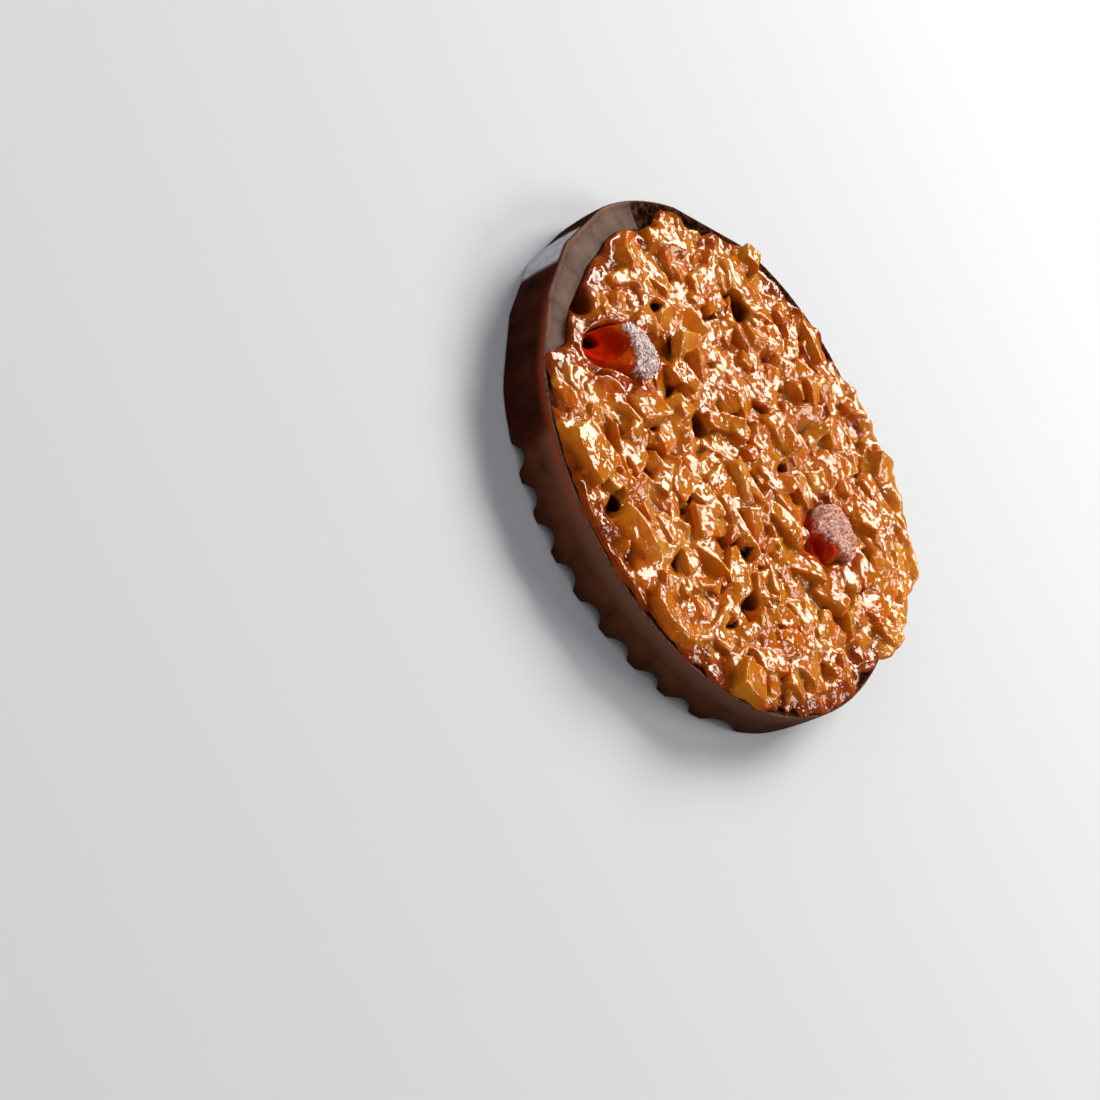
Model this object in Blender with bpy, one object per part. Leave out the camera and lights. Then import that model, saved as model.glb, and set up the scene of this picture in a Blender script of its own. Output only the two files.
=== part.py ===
"""Florentine cookie.

A lumpy disc of nibbed almonds set in caramel lies in a shallow dish of dark chocolate, with two
pieces of glace cherry pressed into it. The chocolate has a thin uneven rim, a smooth lip at one side
and a combed underside. The nuts stand above the rim and spill over it along one stretch.

Frame: the origin is the centre of the underside, +Z is up and the nut side is on top. Metres.
"""

import math
import random
from collections import namedtuple

import bmesh
import bpy
import numpy as np
from mathutils import Euler, Vector
from mathutils.geometry import delaunay_2d_cdt

MM = 0.001
DEG = math.pi / 180.0

# Whole cookie
RADIUS = 35.0 * MM
RIM_HEIGHT = 7.2 * MM
GAP = 0.3 * MM
SECTIONS = 112

# Chocolate dish
WALL = 1.3 * MM
FLOOR_TOP = 3.9 * MM
WALL_TAPER = 0.25 * MM
FOOT_ROUND = 0.5 * MM
RIM_ROUND = 0.35 * MM
LIP_HOLLOW = 0.2 * MM

# The outline is a circle with a slight wobble: waves round the cookie, size, angle of the crest.
RIM_WOBBLE = (
    (1, 0.14 * MM, 112 * DEG),
    (2, 0.16 * MM, 0 * DEG),
    (3, 0.12 * MM, 112 * DEG),
    (5, 0.12 * MM, 44 * DEG),
)
# Flattened places of the wall: the angle that they face, and their distance from the centre.
WALL_FLATS = (
    (-134 * DEG, 34.35 * MM),
    (-148 * DEG, 34.45 * MM),
    (-165 * DEG, 34.6 * MM),
    (147 * DEG, 34.4 * MM),
)
# Where the rim widens inwards to a ledge: facing angle, half of its arc, extra width.
LEDGES = (
    (-161 * DEG, 35 * DEG, 2.7 * MM),
    (154 * DEG, 8 * DEG, 2.2 * MM),
    (121 * DEG, 11 * DEG, 1.2 * MM),
    (12 * DEG, 9 * DEG, 1.7 * MM),
    (-45 * DEG, 7 * DEG, 0.9 * MM),
    (-68 * DEG, 6 * DEG, 1.1 * MM),
    (-101 * DEG, 7 * DEG, 1.0 * MM),
)
LEDGE_FADE = 7 * DEG
LIP_WAVES = 11
LIP_WAVE = 0.3 * MM

# Combed underside: wavy grooves along Y between narrow flat ridges
COMB_PITCH = 5.2 * MM
COMB_START = 2.0 * MM
COMB_WIDTH = 3.7 * MM
COMB_DEPTH = 1.5 * MM
COMB_WAVE = 0.8 * MM
COMB_WAVE_LENGTH = 26.0 * MM
COMB_STEP = 6.4 * MM

# Nut layer
BED_TOP = 8.2 * MM
EDGE_DROP = 0.9 * MM
EDGE_ROUND = 0.35 * MM
BED_SWELL = 0.3 * MM
CARAMEL_LEVEL = 0.45 * MM
MESH_STEP = 1.36 * MM
RELIEF_SOFTENING = 0.18
# Where the nuts spill over the rim: middle angle, half of the arc, reach past the dish's inner wall.
SPILLS = (
    (49 * DEG, 35 * DEG, 3.7 * MM),
    (82 * DEG, 19 * DEG, 1.7 * MM),
    (134 * DEG, 9 * DEG, 1.3 * MM),
)
SPILL_FADE = 12 * DEG
# Lobes of the spilled edge as shares of its reach: waves round the cookie, share, phase.
SPILL_LOBES = ((11, 0.2, -89 * DEG), (23, 0.12, 43 * DEG))

# Nibbed almonds: share of all nibs, then length, width and thickness ranges
NIB_SEED = 71
NIB_PITCH = 2.75 * MM
NIB_KINDS = (
    ("nib", 0.66, (2.4, 4.3), (1.7, 2.6), (1.5, 2.2)),
    ("sliver", 0.18, (4.8, 7.6), (1.3, 1.8), (1.2, 1.6)),
    ("flake", 0.16, (4.0, 6.2), (3.0, 4.4), (0.9, 1.3)),
)
# Single large chips on top: x, y, length, width, thickness (mm), yaw, pitch, roll (degrees)
LARGE_CHIPS = (
    (-12.2, 17.7, 7.2, 5.8, 2.2, 60, 12, -14),
    (-11.4, -4.4, 5.2, 3.4, 1.7, 20, -10, 8),
    (-14.6, -0.6, 6.4, 3.6, 2.0, 75, 8, 12),
    (-7.6, -30.2, 8.4, 5.0, 1.6, 12, 4, -8),
    (3.6, -28.0, 8.8, 4.6, 1.8, 35, -6, 10),
    (3.9, -1.6, 6.6, 3.4, 2.1, 5, 10, -8),
    (24.6, -27.0, 5.4, 3.6, 1.8, 40, 6, -12),
    (-24.5, 22.6, 6.4, 3.8, 2.4, 130, 10, 6),
    (10.8, 3.2, 6.8, 3.0, 2.0, 10, -6, 8),
    (24.5, 21.5, 6.4, 4.6, 1.9, 55, 8, 12),
    (22.0, 6.0, 6.0, 3.2, 1.9, 30, -8, -6),
    (-3.2, 24.2, 6.2, 3.8, 2.0, 80, 8, 8),
)

Nib = namedtuple("Nib", "kind x y z length width thick yaw pitch roll")

# Bubble holes in the caramel: x, y, width across the top, depth
BUBBLES = (
    (-24.6 * MM, -16.9 * MM, 3.0 * MM, 2.6 * MM),
    (-20.8 * MM, -2.3 * MM, 1.6 * MM, 2.2 * MM),
    (-16.9 * MM, 16.2 * MM, 2.8 * MM, 2.6 * MM),
    (-0.3 * MM, -29.0 * MM, 2.0 * MM, 2.4 * MM),
    (12.1 * MM, -7.2 * MM, 2.0 * MM, 2.6 * MM),
    (4.5 * MM, 9.3 * MM, 1.6 * MM, 2.2 * MM),
    (-4.8 * MM, -4.3 * MM, 2.0 * MM, 2.2 * MM),
    (-3.3 * MM, 3.1 * MM, 1.6 * MM, 2.0 * MM),
    (17.9 * MM, -11.0 * MM, 2.2 * MM, 2.6 * MM),
)
BUBBLE_SIDES = 8
BUBBLE_TAPER = 0.6

# Cherry pieces: centre, size, yaw, and the direction and depth of the hollow in the cut half
Cherry = namedtuple("Cherry", "name centre size yaw hollow hollow_depth seed")
CHERRIES = (
    Cherry("cherry_large", (-17.0 * MM, -15.2 * MM, 7.75 * MM), (8.8 * MM, 12.6 * MM, 5.1 * MM),
           -10 * DEG, Vector((-0.25, -0.55, 0.8)), 1.7 * MM, 3),
    Cherry("cherry_small", (15.0 * MM, 12.4 * MM, 7.75 * MM), (8.2 * MM, 9.8 * MM, 4.9 * MM),
           25 * DEG, Vector((0.5, -0.6, 0.62)), 1.0 * MM, 8),
)
CHERRY_WOBBLE = 0.35 * MM


def smoothstep(value):
    """0 below 0, 1 above 1 and a smooth rise between."""
    clamped = min(max(value, 0.0), 1.0)
    return clamped * clamped * (3.0 - 2.0 * clamped)


def arc_offset(angle, centre):
    """Unsigned angle between two directions round the cookie."""
    return abs((angle - centre + math.pi) % (2.0 * math.pi) - math.pi)


def plateau(angle, centre, half_arc, fade):
    """1 within an arc, fading to 0 at its ends."""
    return smoothstep((half_arc - arc_offset(angle, centre)) / fade)


def rim_radius(angle):
    """Outer radius of the chocolate rim in one direction."""
    radius = RADIUS
    for waves, size, crest in RIM_WOBBLE:
        radius += size * math.cos(waves * (angle - crest))
    for facing, distance in WALL_FLATS:
        reach = math.cos(angle - facing)
        if reach > 0.9:
            radius = min(radius, distance / reach)
    return radius


def ledge_width(angle):
    """Width of the chocolate's top past its plain wall."""
    width = 0.0
    for centre, half_arc, extra in LEDGES:
        width = max(width, extra * plateau(angle, centre, half_arc, LEDGE_FADE))
    wave = LIP_WAVE * math.sin(LIP_WAVES * angle)
    return width + wave * smoothstep(width / WALL)


def dish_radius(angle):
    """Radius of the dish's inner wall."""
    return rim_radius(angle) - WALL - ledge_width(angle)


def spill(angle):
    """How far the nuts have spilled in one direction, 0 to 1."""
    return max(plateau(angle, centre, half_arc, SPILL_FADE) for centre, half_arc, _ in SPILLS)


def bed_radius(angle):
    """Outline of the nut layer seen from above."""
    lobes = sum(share * math.sin(waves * angle + phase) for waves, share, phase in SPILL_LOBES)
    past = 0.0
    for centre, half_arc, reach in SPILLS:
        share = smoothstep(2.0 * plateau(angle, centre, half_arc, SPILL_FADE) - 1.0)
        past = max(past, share * reach * (1.0 + lobes))
    return dish_radius(angle) - GAP - EDGE_ROUND + past


def brim_height(angle):
    """Height at which the nut layer's side ends: clear above the rim where the nuts spill."""
    below = RIM_HEIGHT - 0.4 * MM
    above = RIM_HEIGHT + GAP + 0.05 * MM
    return below + (above - below) * smoothstep(2.0 * spill(angle))


def bed_level(x, y):
    """Mean height of the nuts: level in the middle, falling towards the edge."""
    edge = bed_radius(math.atan2(y, x))
    drop = smoothstep((math.hypot(x, y) / edge - 0.74) / 0.26)
    swell = math.sin(x / (6.1 * MM) + 1.3) * math.sin(y / (7.3 * MM) + 0.4)
    return BED_TOP - EDGE_DROP * drop + BED_SWELL * swell


def inside_cherry(x, y, margin):
    """Whether a point lies over a cherry piece."""
    for cherry in CHERRIES:
        dx, dy = x - cherry.centre[0], y - cherry.centre[1]
        turned = Vector((dx, dy)).to_3d()
        turned.rotate(Euler((0.0, 0.0, -cherry.yaw)))
        across = turned.x / (cherry.size[0] / 2 + margin)
        along = turned.y / (cherry.size[1] / 2 + margin)
        if across * across + along * along < 1.0:
            return True
    return False


def inside_bubble(x, y, margin):
    """Whether a point lies over a bubble hole."""
    return any(math.hypot(x - bx, y - by) < width / 2 + margin for bx, by, width, _ in BUBBLES)


def scatter_nibs():
    """The almond nibs on a jittered triangular grid, then the single large chips on top."""
    rng = random.Random(NIB_SEED)
    nibs = []
    rows = int(2.2 * RADIUS / NIB_PITCH)
    for row in range(-rows // 2, rows // 2 + 2):
        for column in range(-rows // 2, rows // 2 + 2):
            x = (column + 0.5 * (row % 2) + rng.uniform(-0.42, 0.42)) * NIB_PITCH
            y = (row + rng.uniform(-0.42, 0.42)) * NIB_PITCH * math.sqrt(0.75)
            pick = rng.random()
            shape = [rng.random() for _ in range(3)]
            turn = [rng.random() for _ in range(3)]
            lift = rng.uniform(-0.55, 0.45) * MM
            for kind, share, *ranges in NIB_KINDS:
                if pick < share:
                    break
                pick -= share
            sizes = [(low + (high - low) * t) * MM for (low, high), t in zip(ranges, shape)]
            reach = bed_radius(math.atan2(y, x)) - 0.35 * sizes[1]
            if math.hypot(x, y) > reach or inside_cherry(x, y, 0.2 * MM) or inside_bubble(x, y, 0.5 * MM):
                continue
            yaw = 180.0 * turn[0] * DEG
            pitch = (turn[1] - 0.5) * 40.0 * DEG
            roll = (turn[2] - 0.5) * 50.0 * DEG
            nibs.append(Nib(kind, x, y, bed_level(x, y) + lift, *sizes, yaw, pitch, roll))
    for x, y, length, width, thick, yaw, pitch, roll in LARGE_CHIPS:
        place = (x * MM, y * MM, bed_level(x * MM, y * MM) + 0.5 * MM)
        sizes = (length * MM, width * MM, thick * MM)
        nibs.append(Nib("large", *place, *sizes, yaw * DEG, pitch * DEG, roll * DEG))
    return nibs


def nib_tops(nibs, x, y):
    """Heights of the nibs' tops over points, as blocks with rounded edges; the highest nib wins."""
    tops = np.full(x.shape, -1.0)
    for nib in nibs:
        axes = np.array(Euler((nib.roll, nib.pitch, nib.yaw)).to_matrix())
        slope = axes[:2, 2] / axes[2, 2]
        dx, dy = x - nib.x, y - nib.y
        along = (dx * math.cos(nib.yaw) + dy * math.sin(nib.yaw)) / (nib.length / 2)
        across = (dy * math.cos(nib.yaw) - dx * math.sin(nib.yaw)) / (nib.width / 2)
        fill = 1.0 - np.abs(along) ** 3 - np.abs(across) ** 3
        crown = nib.thick / 2 * np.cbrt(np.maximum(fill, 0.0))
        height = nib.z - slope[0] * dx - slope[1] * dy + crown
        tops = np.where(fill > 0.0, np.maximum(tops, height), tops)
    return tops


def bed_heights(nibs, points):
    """Top heights of the nut layer over plan points."""
    x = np.array([point[0] for point in points])
    y = np.array([point[1] for point in points])
    caramel = np.array([bed_level(px, py) for px, py in points]) - CARAMEL_LEVEL
    return np.maximum(caramel, nib_tops(nibs, x, y))


def section_angles():
    return [2.0 * math.pi * index / SECTIONS for index in range(SECTIONS)]


def ring(mesh, radius_of, height_of):
    """A closed row of vertices round the cookie."""
    row = []
    for angle in section_angles():
        radius = radius_of(angle)
        row.append(mesh.verts.new((radius * math.cos(angle), radius * math.sin(angle), height_of(angle))))
    return row


def join_rings(mesh, first, second):
    """Quads between two rows, facing away from the axis when the second row is above the first."""
    for index in range(len(first)):
        after = (index + 1) % len(first)
        mesh.faces.new((first[index], first[after], second[after], second[index]))


def add_object(name, mesh, material=None):
    """An object from a bmesh, linked to the scene."""
    bmesh.ops.recalc_face_normals(mesh, faces=mesh.faces[:])
    data = bpy.data.meshes.new(name)
    mesh.to_mesh(data)
    mesh.free()
    thing = bpy.data.objects.new(name, data)
    bpy.context.scene.collection.objects.link(thing)
    if material:
        data.materials.append(material)
        data.shade_smooth()
        data.set_sharp_from_angle(angle=40 * DEG)
    return thing


def make_cutter(name, mesh):
    """An object that only cuts others."""
    cutter = add_object(name, mesh)
    cutter.hide_render = True
    cutter.display_type = "WIRE"
    return cutter


def cut_with(thing, cutter):
    """Subtracts a cutter with a Boolean modifier."""
    modifier = thing.modifiers.new(cutter.name, "BOOLEAN")
    modifier.operation = "DIFFERENCE"
    modifier.solver = "EXACT"
    modifier.object = cutter


def make_material(name, colour, roughness, subsurface=0.0):
    """A Principled material in one colour."""
    material = bpy.data.materials.new(name)
    material.use_nodes = True
    shader = material.node_tree.nodes["Principled BSDF"]
    shader.inputs["Base Color"].default_value = (*colour, 1.0)
    shader.inputs["Roughness"].default_value = roughness
    shader.inputs["Metallic"].default_value = 0.0
    shader.inputs["Subsurface Weight"].default_value = subsurface
    shader.inputs["Subsurface Radius"].default_value = (1.0 * MM, 0.5 * MM, 0.2 * MM)
    return material


def comb_offset(y):
    """Sideways wave of the comb's ridges along Y."""
    return COMB_WAVE * math.sin(2.0 * math.pi * y / COMB_WAVE_LENGTH + 2.6)


def build_comb():
    """The grooves of the underside, each a wavy bar with a rounded top, open at the bottom."""
    mesh = bmesh.new()
    half = COMB_WIDTH / 2
    profile = [(-half, -MM), (-half, 0.12 * COMB_DEPTH), (-0.72 * half, 0.72 * COMB_DEPTH),
               (-0.28 * half, COMB_DEPTH), (0.28 * half, COMB_DEPTH), (0.72 * half, 0.72 * COMB_DEPTH),
               (half, 0.12 * COMB_DEPTH), (half, -MM)]
    reach = RADIUS + 2.0 * MM
    steps = int(2.0 * reach / COMB_STEP)
    grooves = int(RADIUS / COMB_PITCH) + 1
    for groove in range(-grooves, grooves):
        middle = COMB_START + (groove + 0.5) * COMB_PITCH
        rows = []
        for step in range(steps + 1):
            y = -reach + 2.0 * reach * step / steps
            x = middle + comb_offset(y)
            rows.append([mesh.verts.new((x + dx, y, z)) for dx, z in profile])
        for near, far in zip(rows, rows[1:]):
            join_rings(mesh, near, far)
        mesh.faces.new(rows[0])
        mesh.faces.new(rows[-1])
    return make_cutter("comb", mesh)


def build_chocolate():
    """The chocolate dish: combed underside, thin wall, rounded rim with ledges, flat floor."""
    mesh = bmesh.new()
    lip_middle = lambda angle: (dish_radius(angle) + rim_radius(angle)) / 2
    hollow = lambda angle: RIM_HEIGHT - LIP_HOLLOW * smoothstep(ledge_width(angle) / (2.0 * MM))
    rows = [
        ring(mesh, lambda a: rim_radius(a) - WALL_TAPER - FOOT_ROUND, lambda a: 0.0),
        ring(mesh, lambda a: rim_radius(a) - WALL_TAPER, lambda a: FOOT_ROUND),
        ring(mesh, rim_radius, lambda a: RIM_HEIGHT - RIM_ROUND),
        ring(mesh, lambda a: rim_radius(a) - RIM_ROUND, lambda a: RIM_HEIGHT),
        ring(mesh, lip_middle, hollow),
        ring(mesh, lambda a: dish_radius(a) + 0.15 * MM, lambda a: hollow(a) - 0.1 * MM),
        ring(mesh, dish_radius, lambda a: RIM_HEIGHT - 2.0 * RIM_ROUND),
        ring(mesh, lambda a: dish_radius(a) - 0.1 * MM, lambda a: FLOOR_TOP),
    ]
    for lower, upper in zip(rows, rows[1:]):
        join_rings(mesh, lower, upper)
    mesh.faces.new(rows[0])
    mesh.faces.new(rows[-1])
    chocolate = add_object("chocolate_base", mesh, make_material("dark_chocolate", (0.032, 0.016, 0.011), 0.38))
    cut_with(chocolate, build_comb())
    return chocolate


def plan_points(nibs, outline):
    """Plan points for the nut layer's top: the nibs' middles first, then an even fill."""
    rng = random.Random(NIB_SEED + 1)
    rows = int(RADIUS / MESH_STEP) + 4
    candidates = [(nib.x, nib.y) for nib in nibs]
    for row in range(-rows, rows + 1):
        for column in range(-rows, rows + 1):
            x = (column + 0.5 * (row % 2) + rng.uniform(-0.1, 0.1)) * MESH_STEP
            y = (row + rng.uniform(-0.1, 0.1)) * MESH_STEP * math.sqrt(0.75)
            candidates.append((x, y))
    kept = np.array(outline)
    for x, y in candidates:
        near_edge = math.hypot(x, y) > bed_radius(math.atan2(y, x)) - 0.5 * MESH_STEP
        distances = np.hypot(kept[:, 0] - x, kept[:, 1] - y)
        if near_edge or distances.min() < 0.78 * MESH_STEP:
            continue
        kept = np.vstack((kept, (x, y)))
    return [tuple(point) for point in kept]


def build_nut_layer(nibs):
    """The nut layer: lumpy top over nibs, straight side in the dish, spill over the rim."""
    mesh = bmesh.new()
    side = lambda a: dish_radius(a) - GAP
    overhang = lambda a: bed_radius(a) + EDGE_ROUND
    bottom = ring(mesh, lambda a: side(a) - 0.1 * MM, lambda a: FLOOR_TOP + GAP)
    brim = ring(mesh, side, brim_height)
    under = ring(mesh, overhang, lambda a: brim_height(a) + 0.12 * MM)
    mesh.faces.new(bottom)
    join_rings(mesh, bottom, brim)
    join_rings(mesh, brim, under)

    outline = [(bed_radius(a) * math.cos(a), bed_radius(a) * math.sin(a)) for a in section_angles()]
    points = plan_points(nibs, outline)
    heights = bed_heights(nibs, points)
    edges = [(index, (index + 1) % SECTIONS) for index in range(SECTIONS)]
    flat = [Vector(point) for point in points]
    _, _, triangles, origins, _, _ = delaunay_2d_cdt(flat, edges, [], 1, 1e-9)
    floor = [brim_height(angle) + 0.55 * MM for angle in section_angles()]
    top = []
    for index, (x, y) in enumerate(points):
        lowest = floor[index] if index < SECTIONS else RIM_HEIGHT - 0.3 * MM
        top.append(mesh.verts.new((x, y, max(heights[index], lowest))))
    for triangle in triangles:
        mesh.faces.new([top[origins[corner][0]] for corner in triangle])
    join_rings(mesh, under, top[:SECTIONS])
    bmesh.ops.smooth_vert(mesh, verts=top[SECTIONS:], factor=RELIEF_SOFTENING, use_axis_z=True)
    colour = (0.53, 0.19, 0.035)
    return add_object("nut_layer", mesh, make_material("almond_caramel", colour, 0.22, 0.3))


def build_bubbles(nibs):
    """Tapered cutters for the bubble holes."""
    mesh = bmesh.new()
    for x, y, width, depth in BUBBLES:
        top = max(bed_heights(nibs, [(x, y)])[0], bed_level(x, y)) + 1.2 * MM
        rows = []
        for radius, height in ((BUBBLE_TAPER * width / 2, bed_level(x, y) - depth), (width / 2, bed_level(x, y)),
                               (0.62 * width, top)):
            turns = [2.0 * math.pi * (side + 0.3) / BUBBLE_SIDES for side in range(BUBBLE_SIDES)]
            rows.append([mesh.verts.new((x + radius * math.cos(t), y + radius * math.sin(t), height))
                         for t in turns])
        for lower, upper in zip(rows, rows[1:]):
            join_rings(mesh, lower, upper)
        mesh.faces.new(rows[0])
        mesh.faces.new(rows[-1])
    return make_cutter("bubbles", mesh)


def cherry_shape(cherry, grow):
    """A cut half of glace cherry: a wrinkled flattened ball with a hollow, grown by an offset."""
    mesh = bmesh.new()
    bmesh.ops.create_icosphere(mesh, subdivisions=3, radius=1.0)
    hollow = cherry.hollow.normalized()
    for vertex in mesh.verts:
        direction = vertex.co.normalized()
        wrinkle = math.sin(3.1 * direction.x + cherry.seed) * math.sin(4.3 * direction.y + 2.0 * cherry.seed)
        wrinkle += 0.6 * math.sin(7.0 * direction.z + 5.0 * direction.x + cherry.seed)
        dent = smoothstep((direction.dot(hollow) - 0.45) / 0.5)
        shape = Vector(direction[axis] * cherry.size[axis] / 2 for axis in range(3))
        shape += direction * (CHERRY_WOBBLE * wrinkle + grow) - hollow * cherry.hollow_depth * dent
        vertex.co = shape
    return mesh


def build_cherry(cherry, material):
    """One cherry piece, and the cutter of its pocket in the nut layer."""
    things = (add_object(cherry.name, cherry_shape(cherry, 0.0), material),
              make_cutter(cherry.name + "_pocket", cherry_shape(cherry, GAP + 0.05 * MM)))
    for thing in things:
        thing.location = cherry.centre
        thing.rotation_euler = (0.0, 0.0, cherry.yaw)
    return things


def build_cookie():
    for thing in list(bpy.data.objects):
        bpy.data.objects.remove(thing, do_unlink=True)
    nibs = scatter_nibs()
    build_chocolate()
    nut_layer = build_nut_layer(nibs)
    cut_with(nut_layer, build_bubbles(nibs))
    cherry_red = make_material("glace_cherry", (0.42, 0.025, 0.012), 0.25, 0.4)
    for cherry in CHERRIES:
        _, pocket = build_cherry(cherry, cherry_red)
        cut_with(nut_layer, pocket)


build_cookie()
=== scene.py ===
import math
import random
from collections import namedtuple
from functools import cache

import bmesh
import bpy
import numpy as np
from mathutils import Euler, Matrix, Vector


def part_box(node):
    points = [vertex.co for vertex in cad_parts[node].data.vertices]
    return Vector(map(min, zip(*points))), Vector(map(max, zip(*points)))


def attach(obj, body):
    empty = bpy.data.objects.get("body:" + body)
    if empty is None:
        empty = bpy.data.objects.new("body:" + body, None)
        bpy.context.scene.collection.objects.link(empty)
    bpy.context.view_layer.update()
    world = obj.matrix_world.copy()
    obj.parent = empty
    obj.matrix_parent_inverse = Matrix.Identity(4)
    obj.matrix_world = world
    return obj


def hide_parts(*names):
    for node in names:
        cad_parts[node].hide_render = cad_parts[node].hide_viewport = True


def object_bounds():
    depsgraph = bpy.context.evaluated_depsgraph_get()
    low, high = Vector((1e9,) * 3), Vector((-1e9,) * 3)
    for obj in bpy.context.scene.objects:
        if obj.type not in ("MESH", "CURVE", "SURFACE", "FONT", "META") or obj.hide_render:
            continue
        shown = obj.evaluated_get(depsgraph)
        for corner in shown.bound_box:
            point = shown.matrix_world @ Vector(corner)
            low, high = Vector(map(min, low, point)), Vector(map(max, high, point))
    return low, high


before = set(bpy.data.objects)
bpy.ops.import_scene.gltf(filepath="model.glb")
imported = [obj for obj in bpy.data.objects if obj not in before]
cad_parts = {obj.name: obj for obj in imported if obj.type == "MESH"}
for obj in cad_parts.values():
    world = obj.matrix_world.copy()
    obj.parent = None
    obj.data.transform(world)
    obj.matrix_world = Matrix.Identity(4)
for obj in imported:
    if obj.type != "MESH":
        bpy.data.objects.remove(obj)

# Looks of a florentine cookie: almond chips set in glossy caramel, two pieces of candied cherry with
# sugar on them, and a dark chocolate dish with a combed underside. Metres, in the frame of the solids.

MM = 0.001
DEG = math.pi / 180.0
CAD_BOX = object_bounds()

# Camera: where it stands round the cookie, how the picture is turned, and how far off centre it aims
VIEW_ELEVATION = 32.8 * DEG
PICTURE_TURN = 65.4 * DEG
VIEW_DISTANCE = 420.0 * MM
LENS = 107.0
AIM_LEFT = 17.3 * MM
AIM_BELOW = 9.7 * MM

# Field in which the caramel and its chips are joined: its cells, how far it reaches at least, and how
# many triangles its surface is thinned to
CELL = 0.23 * MM
FIELD_LOW = -36.0 * MM
FIELD_HIGH = 38.0 * MM
FIELD_HEADROOM = 0.6 * MM
CARAMEL_FACES = 185_000
# A chip shapes the field this far round itself; the mean top is taken over the second size
CHIP_REACH = 1.3 * MM
MEAN_TOP_SIZE = 1.6 * MM
# The caramel's fillet round a chip, how far it lies below the chips, and the film that it leaves on them
CARAMEL_BLEND = 0.45 * MM
CARAMEL_SINK = 1.2 * MM
CARAMEL_FILM = 0.05 * MM
# A bare chip stands out of the caramel by this much
BARE_CHIP_RISE = 0.12 * MM
# Slow swells and fine crinkles of the caramel's skin: height, size and seed
SWELL = (0.25 * MM, 3.2 * MM, 6)
CRINKLE = (0.035 * MM, 0.9 * MM, 5)
# The nuts' mean height, and its swells: their height, and their lengths along X and Y
BED_TOP = 8.2 * MM
BED_SWELL = 0.3 * MM
BED_WAVES = (6.1 * MM, 7.3 * MM)
# Towards the edge the nuts fall a little and the caramel between them is fuller
EDGE_DROP = 0.4 * MM
EDGE_FILL = 1.05
EDGE_ROUND = 0.35 * MM
EDGE_LOSS = 0.2 * MM
EDGE_LOBES = 0.3 * MM
# How far the nuts reach over the rim, and how far they stay back from its outer edge
RIM_COVER = 1.6 * MM
RIM_MARGIN = 0.3 * MM
# The nuts cover the inner part of the rim between these directions, and leave it bare elsewhere
COVER_START = -130.0 * DEG
COVER_END = 97.0 * DEG
COVER_FADE = 6.0 * DEG
# Between two directions the caramel laps over the rim and hangs a little outside it
LAP_START = 20.0 * DEG
LAP_END = 97.0 * DEG
LAP_FADE = 7.0 * DEG
LAP_RISE = 0.5 * MM
LAP_DROOP = 1.3 * MM
# The caramel's gap over the rim, its gap outside the wall, and the fillet of its lower edge
RIM_GAP = 0.02 * MM
LAP_GAP = 0.05 * MM
RIM_FILLET = 0.25 * MM

# Almond chips: kind, share of all, then ranges of length, width and thickness (mm)
CHIP_KINDS = (
    ("nib", 0.48, (3.0, 6.0), (2.4, 4.3), (2.2, 3.4)),
    ("sliver", 0.16, (6.0, 10.0), (1.8, 2.7), (1.8, 2.6)),
    ("flake", 0.14, (4.8, 7.5), (3.6, 5.4), (1.4, 2.2)),
    ("large", 0.10, (5.6, 8.0), (4.2, 5.6), (2.2, 3.0)),
    ("crumb", 0.12, (1.6, 2.6), (1.4, 2.2), (1.6, 2.4)),
)
CHIP_SEED = 71
CHIP_PITCH = 4.0 * MM
CHIP_JITTER = 0.42
# Cuts of a chip, its six faces and its chamfers: how far out they lie, in shares of its half sizes
FACE_PLACES = (0.84, 1.0)
FACE_TILT = 0.13
CHAMFER_PLACES = (0.60, 0.86)
CHAMFER_COUNT = 6
CHIP_SHARPNESS = 20.0
CHIP_BEND = 0.04 / MM
CHIP_TILT = 30.0 * DEG
CHIP_YAW = 230.0 * DEG
CHIP_LIFT = 0.6 * MM
# Chips stay this far below the solids' top and off bubble holes, and this many half sizes off cherries
TOP_MARGIN = 0.12 * MM
BUBBLE_CLEARANCE = 0.7 * MM
CHERRY_CLEARANCE = 1.12
# This share of the upper chips lies bare, away from the edge and from bubble holes
BARE_SHARE = 0.18
# How far round its middle a layer is scattered, from side to side
SCATTER_WIDTH = 77.0 * MM
# Bare chips: kind, name of their piece, and how finely their surface is divided
BARE_PIECES = (
    ("nib", "almond_nibs", 3),
    ("sliver", "almond_slivers", 3),
    ("flake", "almond_flakes", 3),
    ("large", "large_chips", 4),
)
# A lower layer of chips fills the gaps between the upper ones
LOWER_SEED = 29
LOWER_PITCH = 3.4 * MM
LOWER_SINK = 1.5 * MM
LOWER_MARGIN = 0.8 * MM
# How far the large chips stand over the bed, and the share of them that are bare, and within what radius
LARGE_LIFT = 0.3 * MM
LARGE_BARE_SHARE = 0.5
LARGE_BARE_REACH = 27.0 * MM
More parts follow.
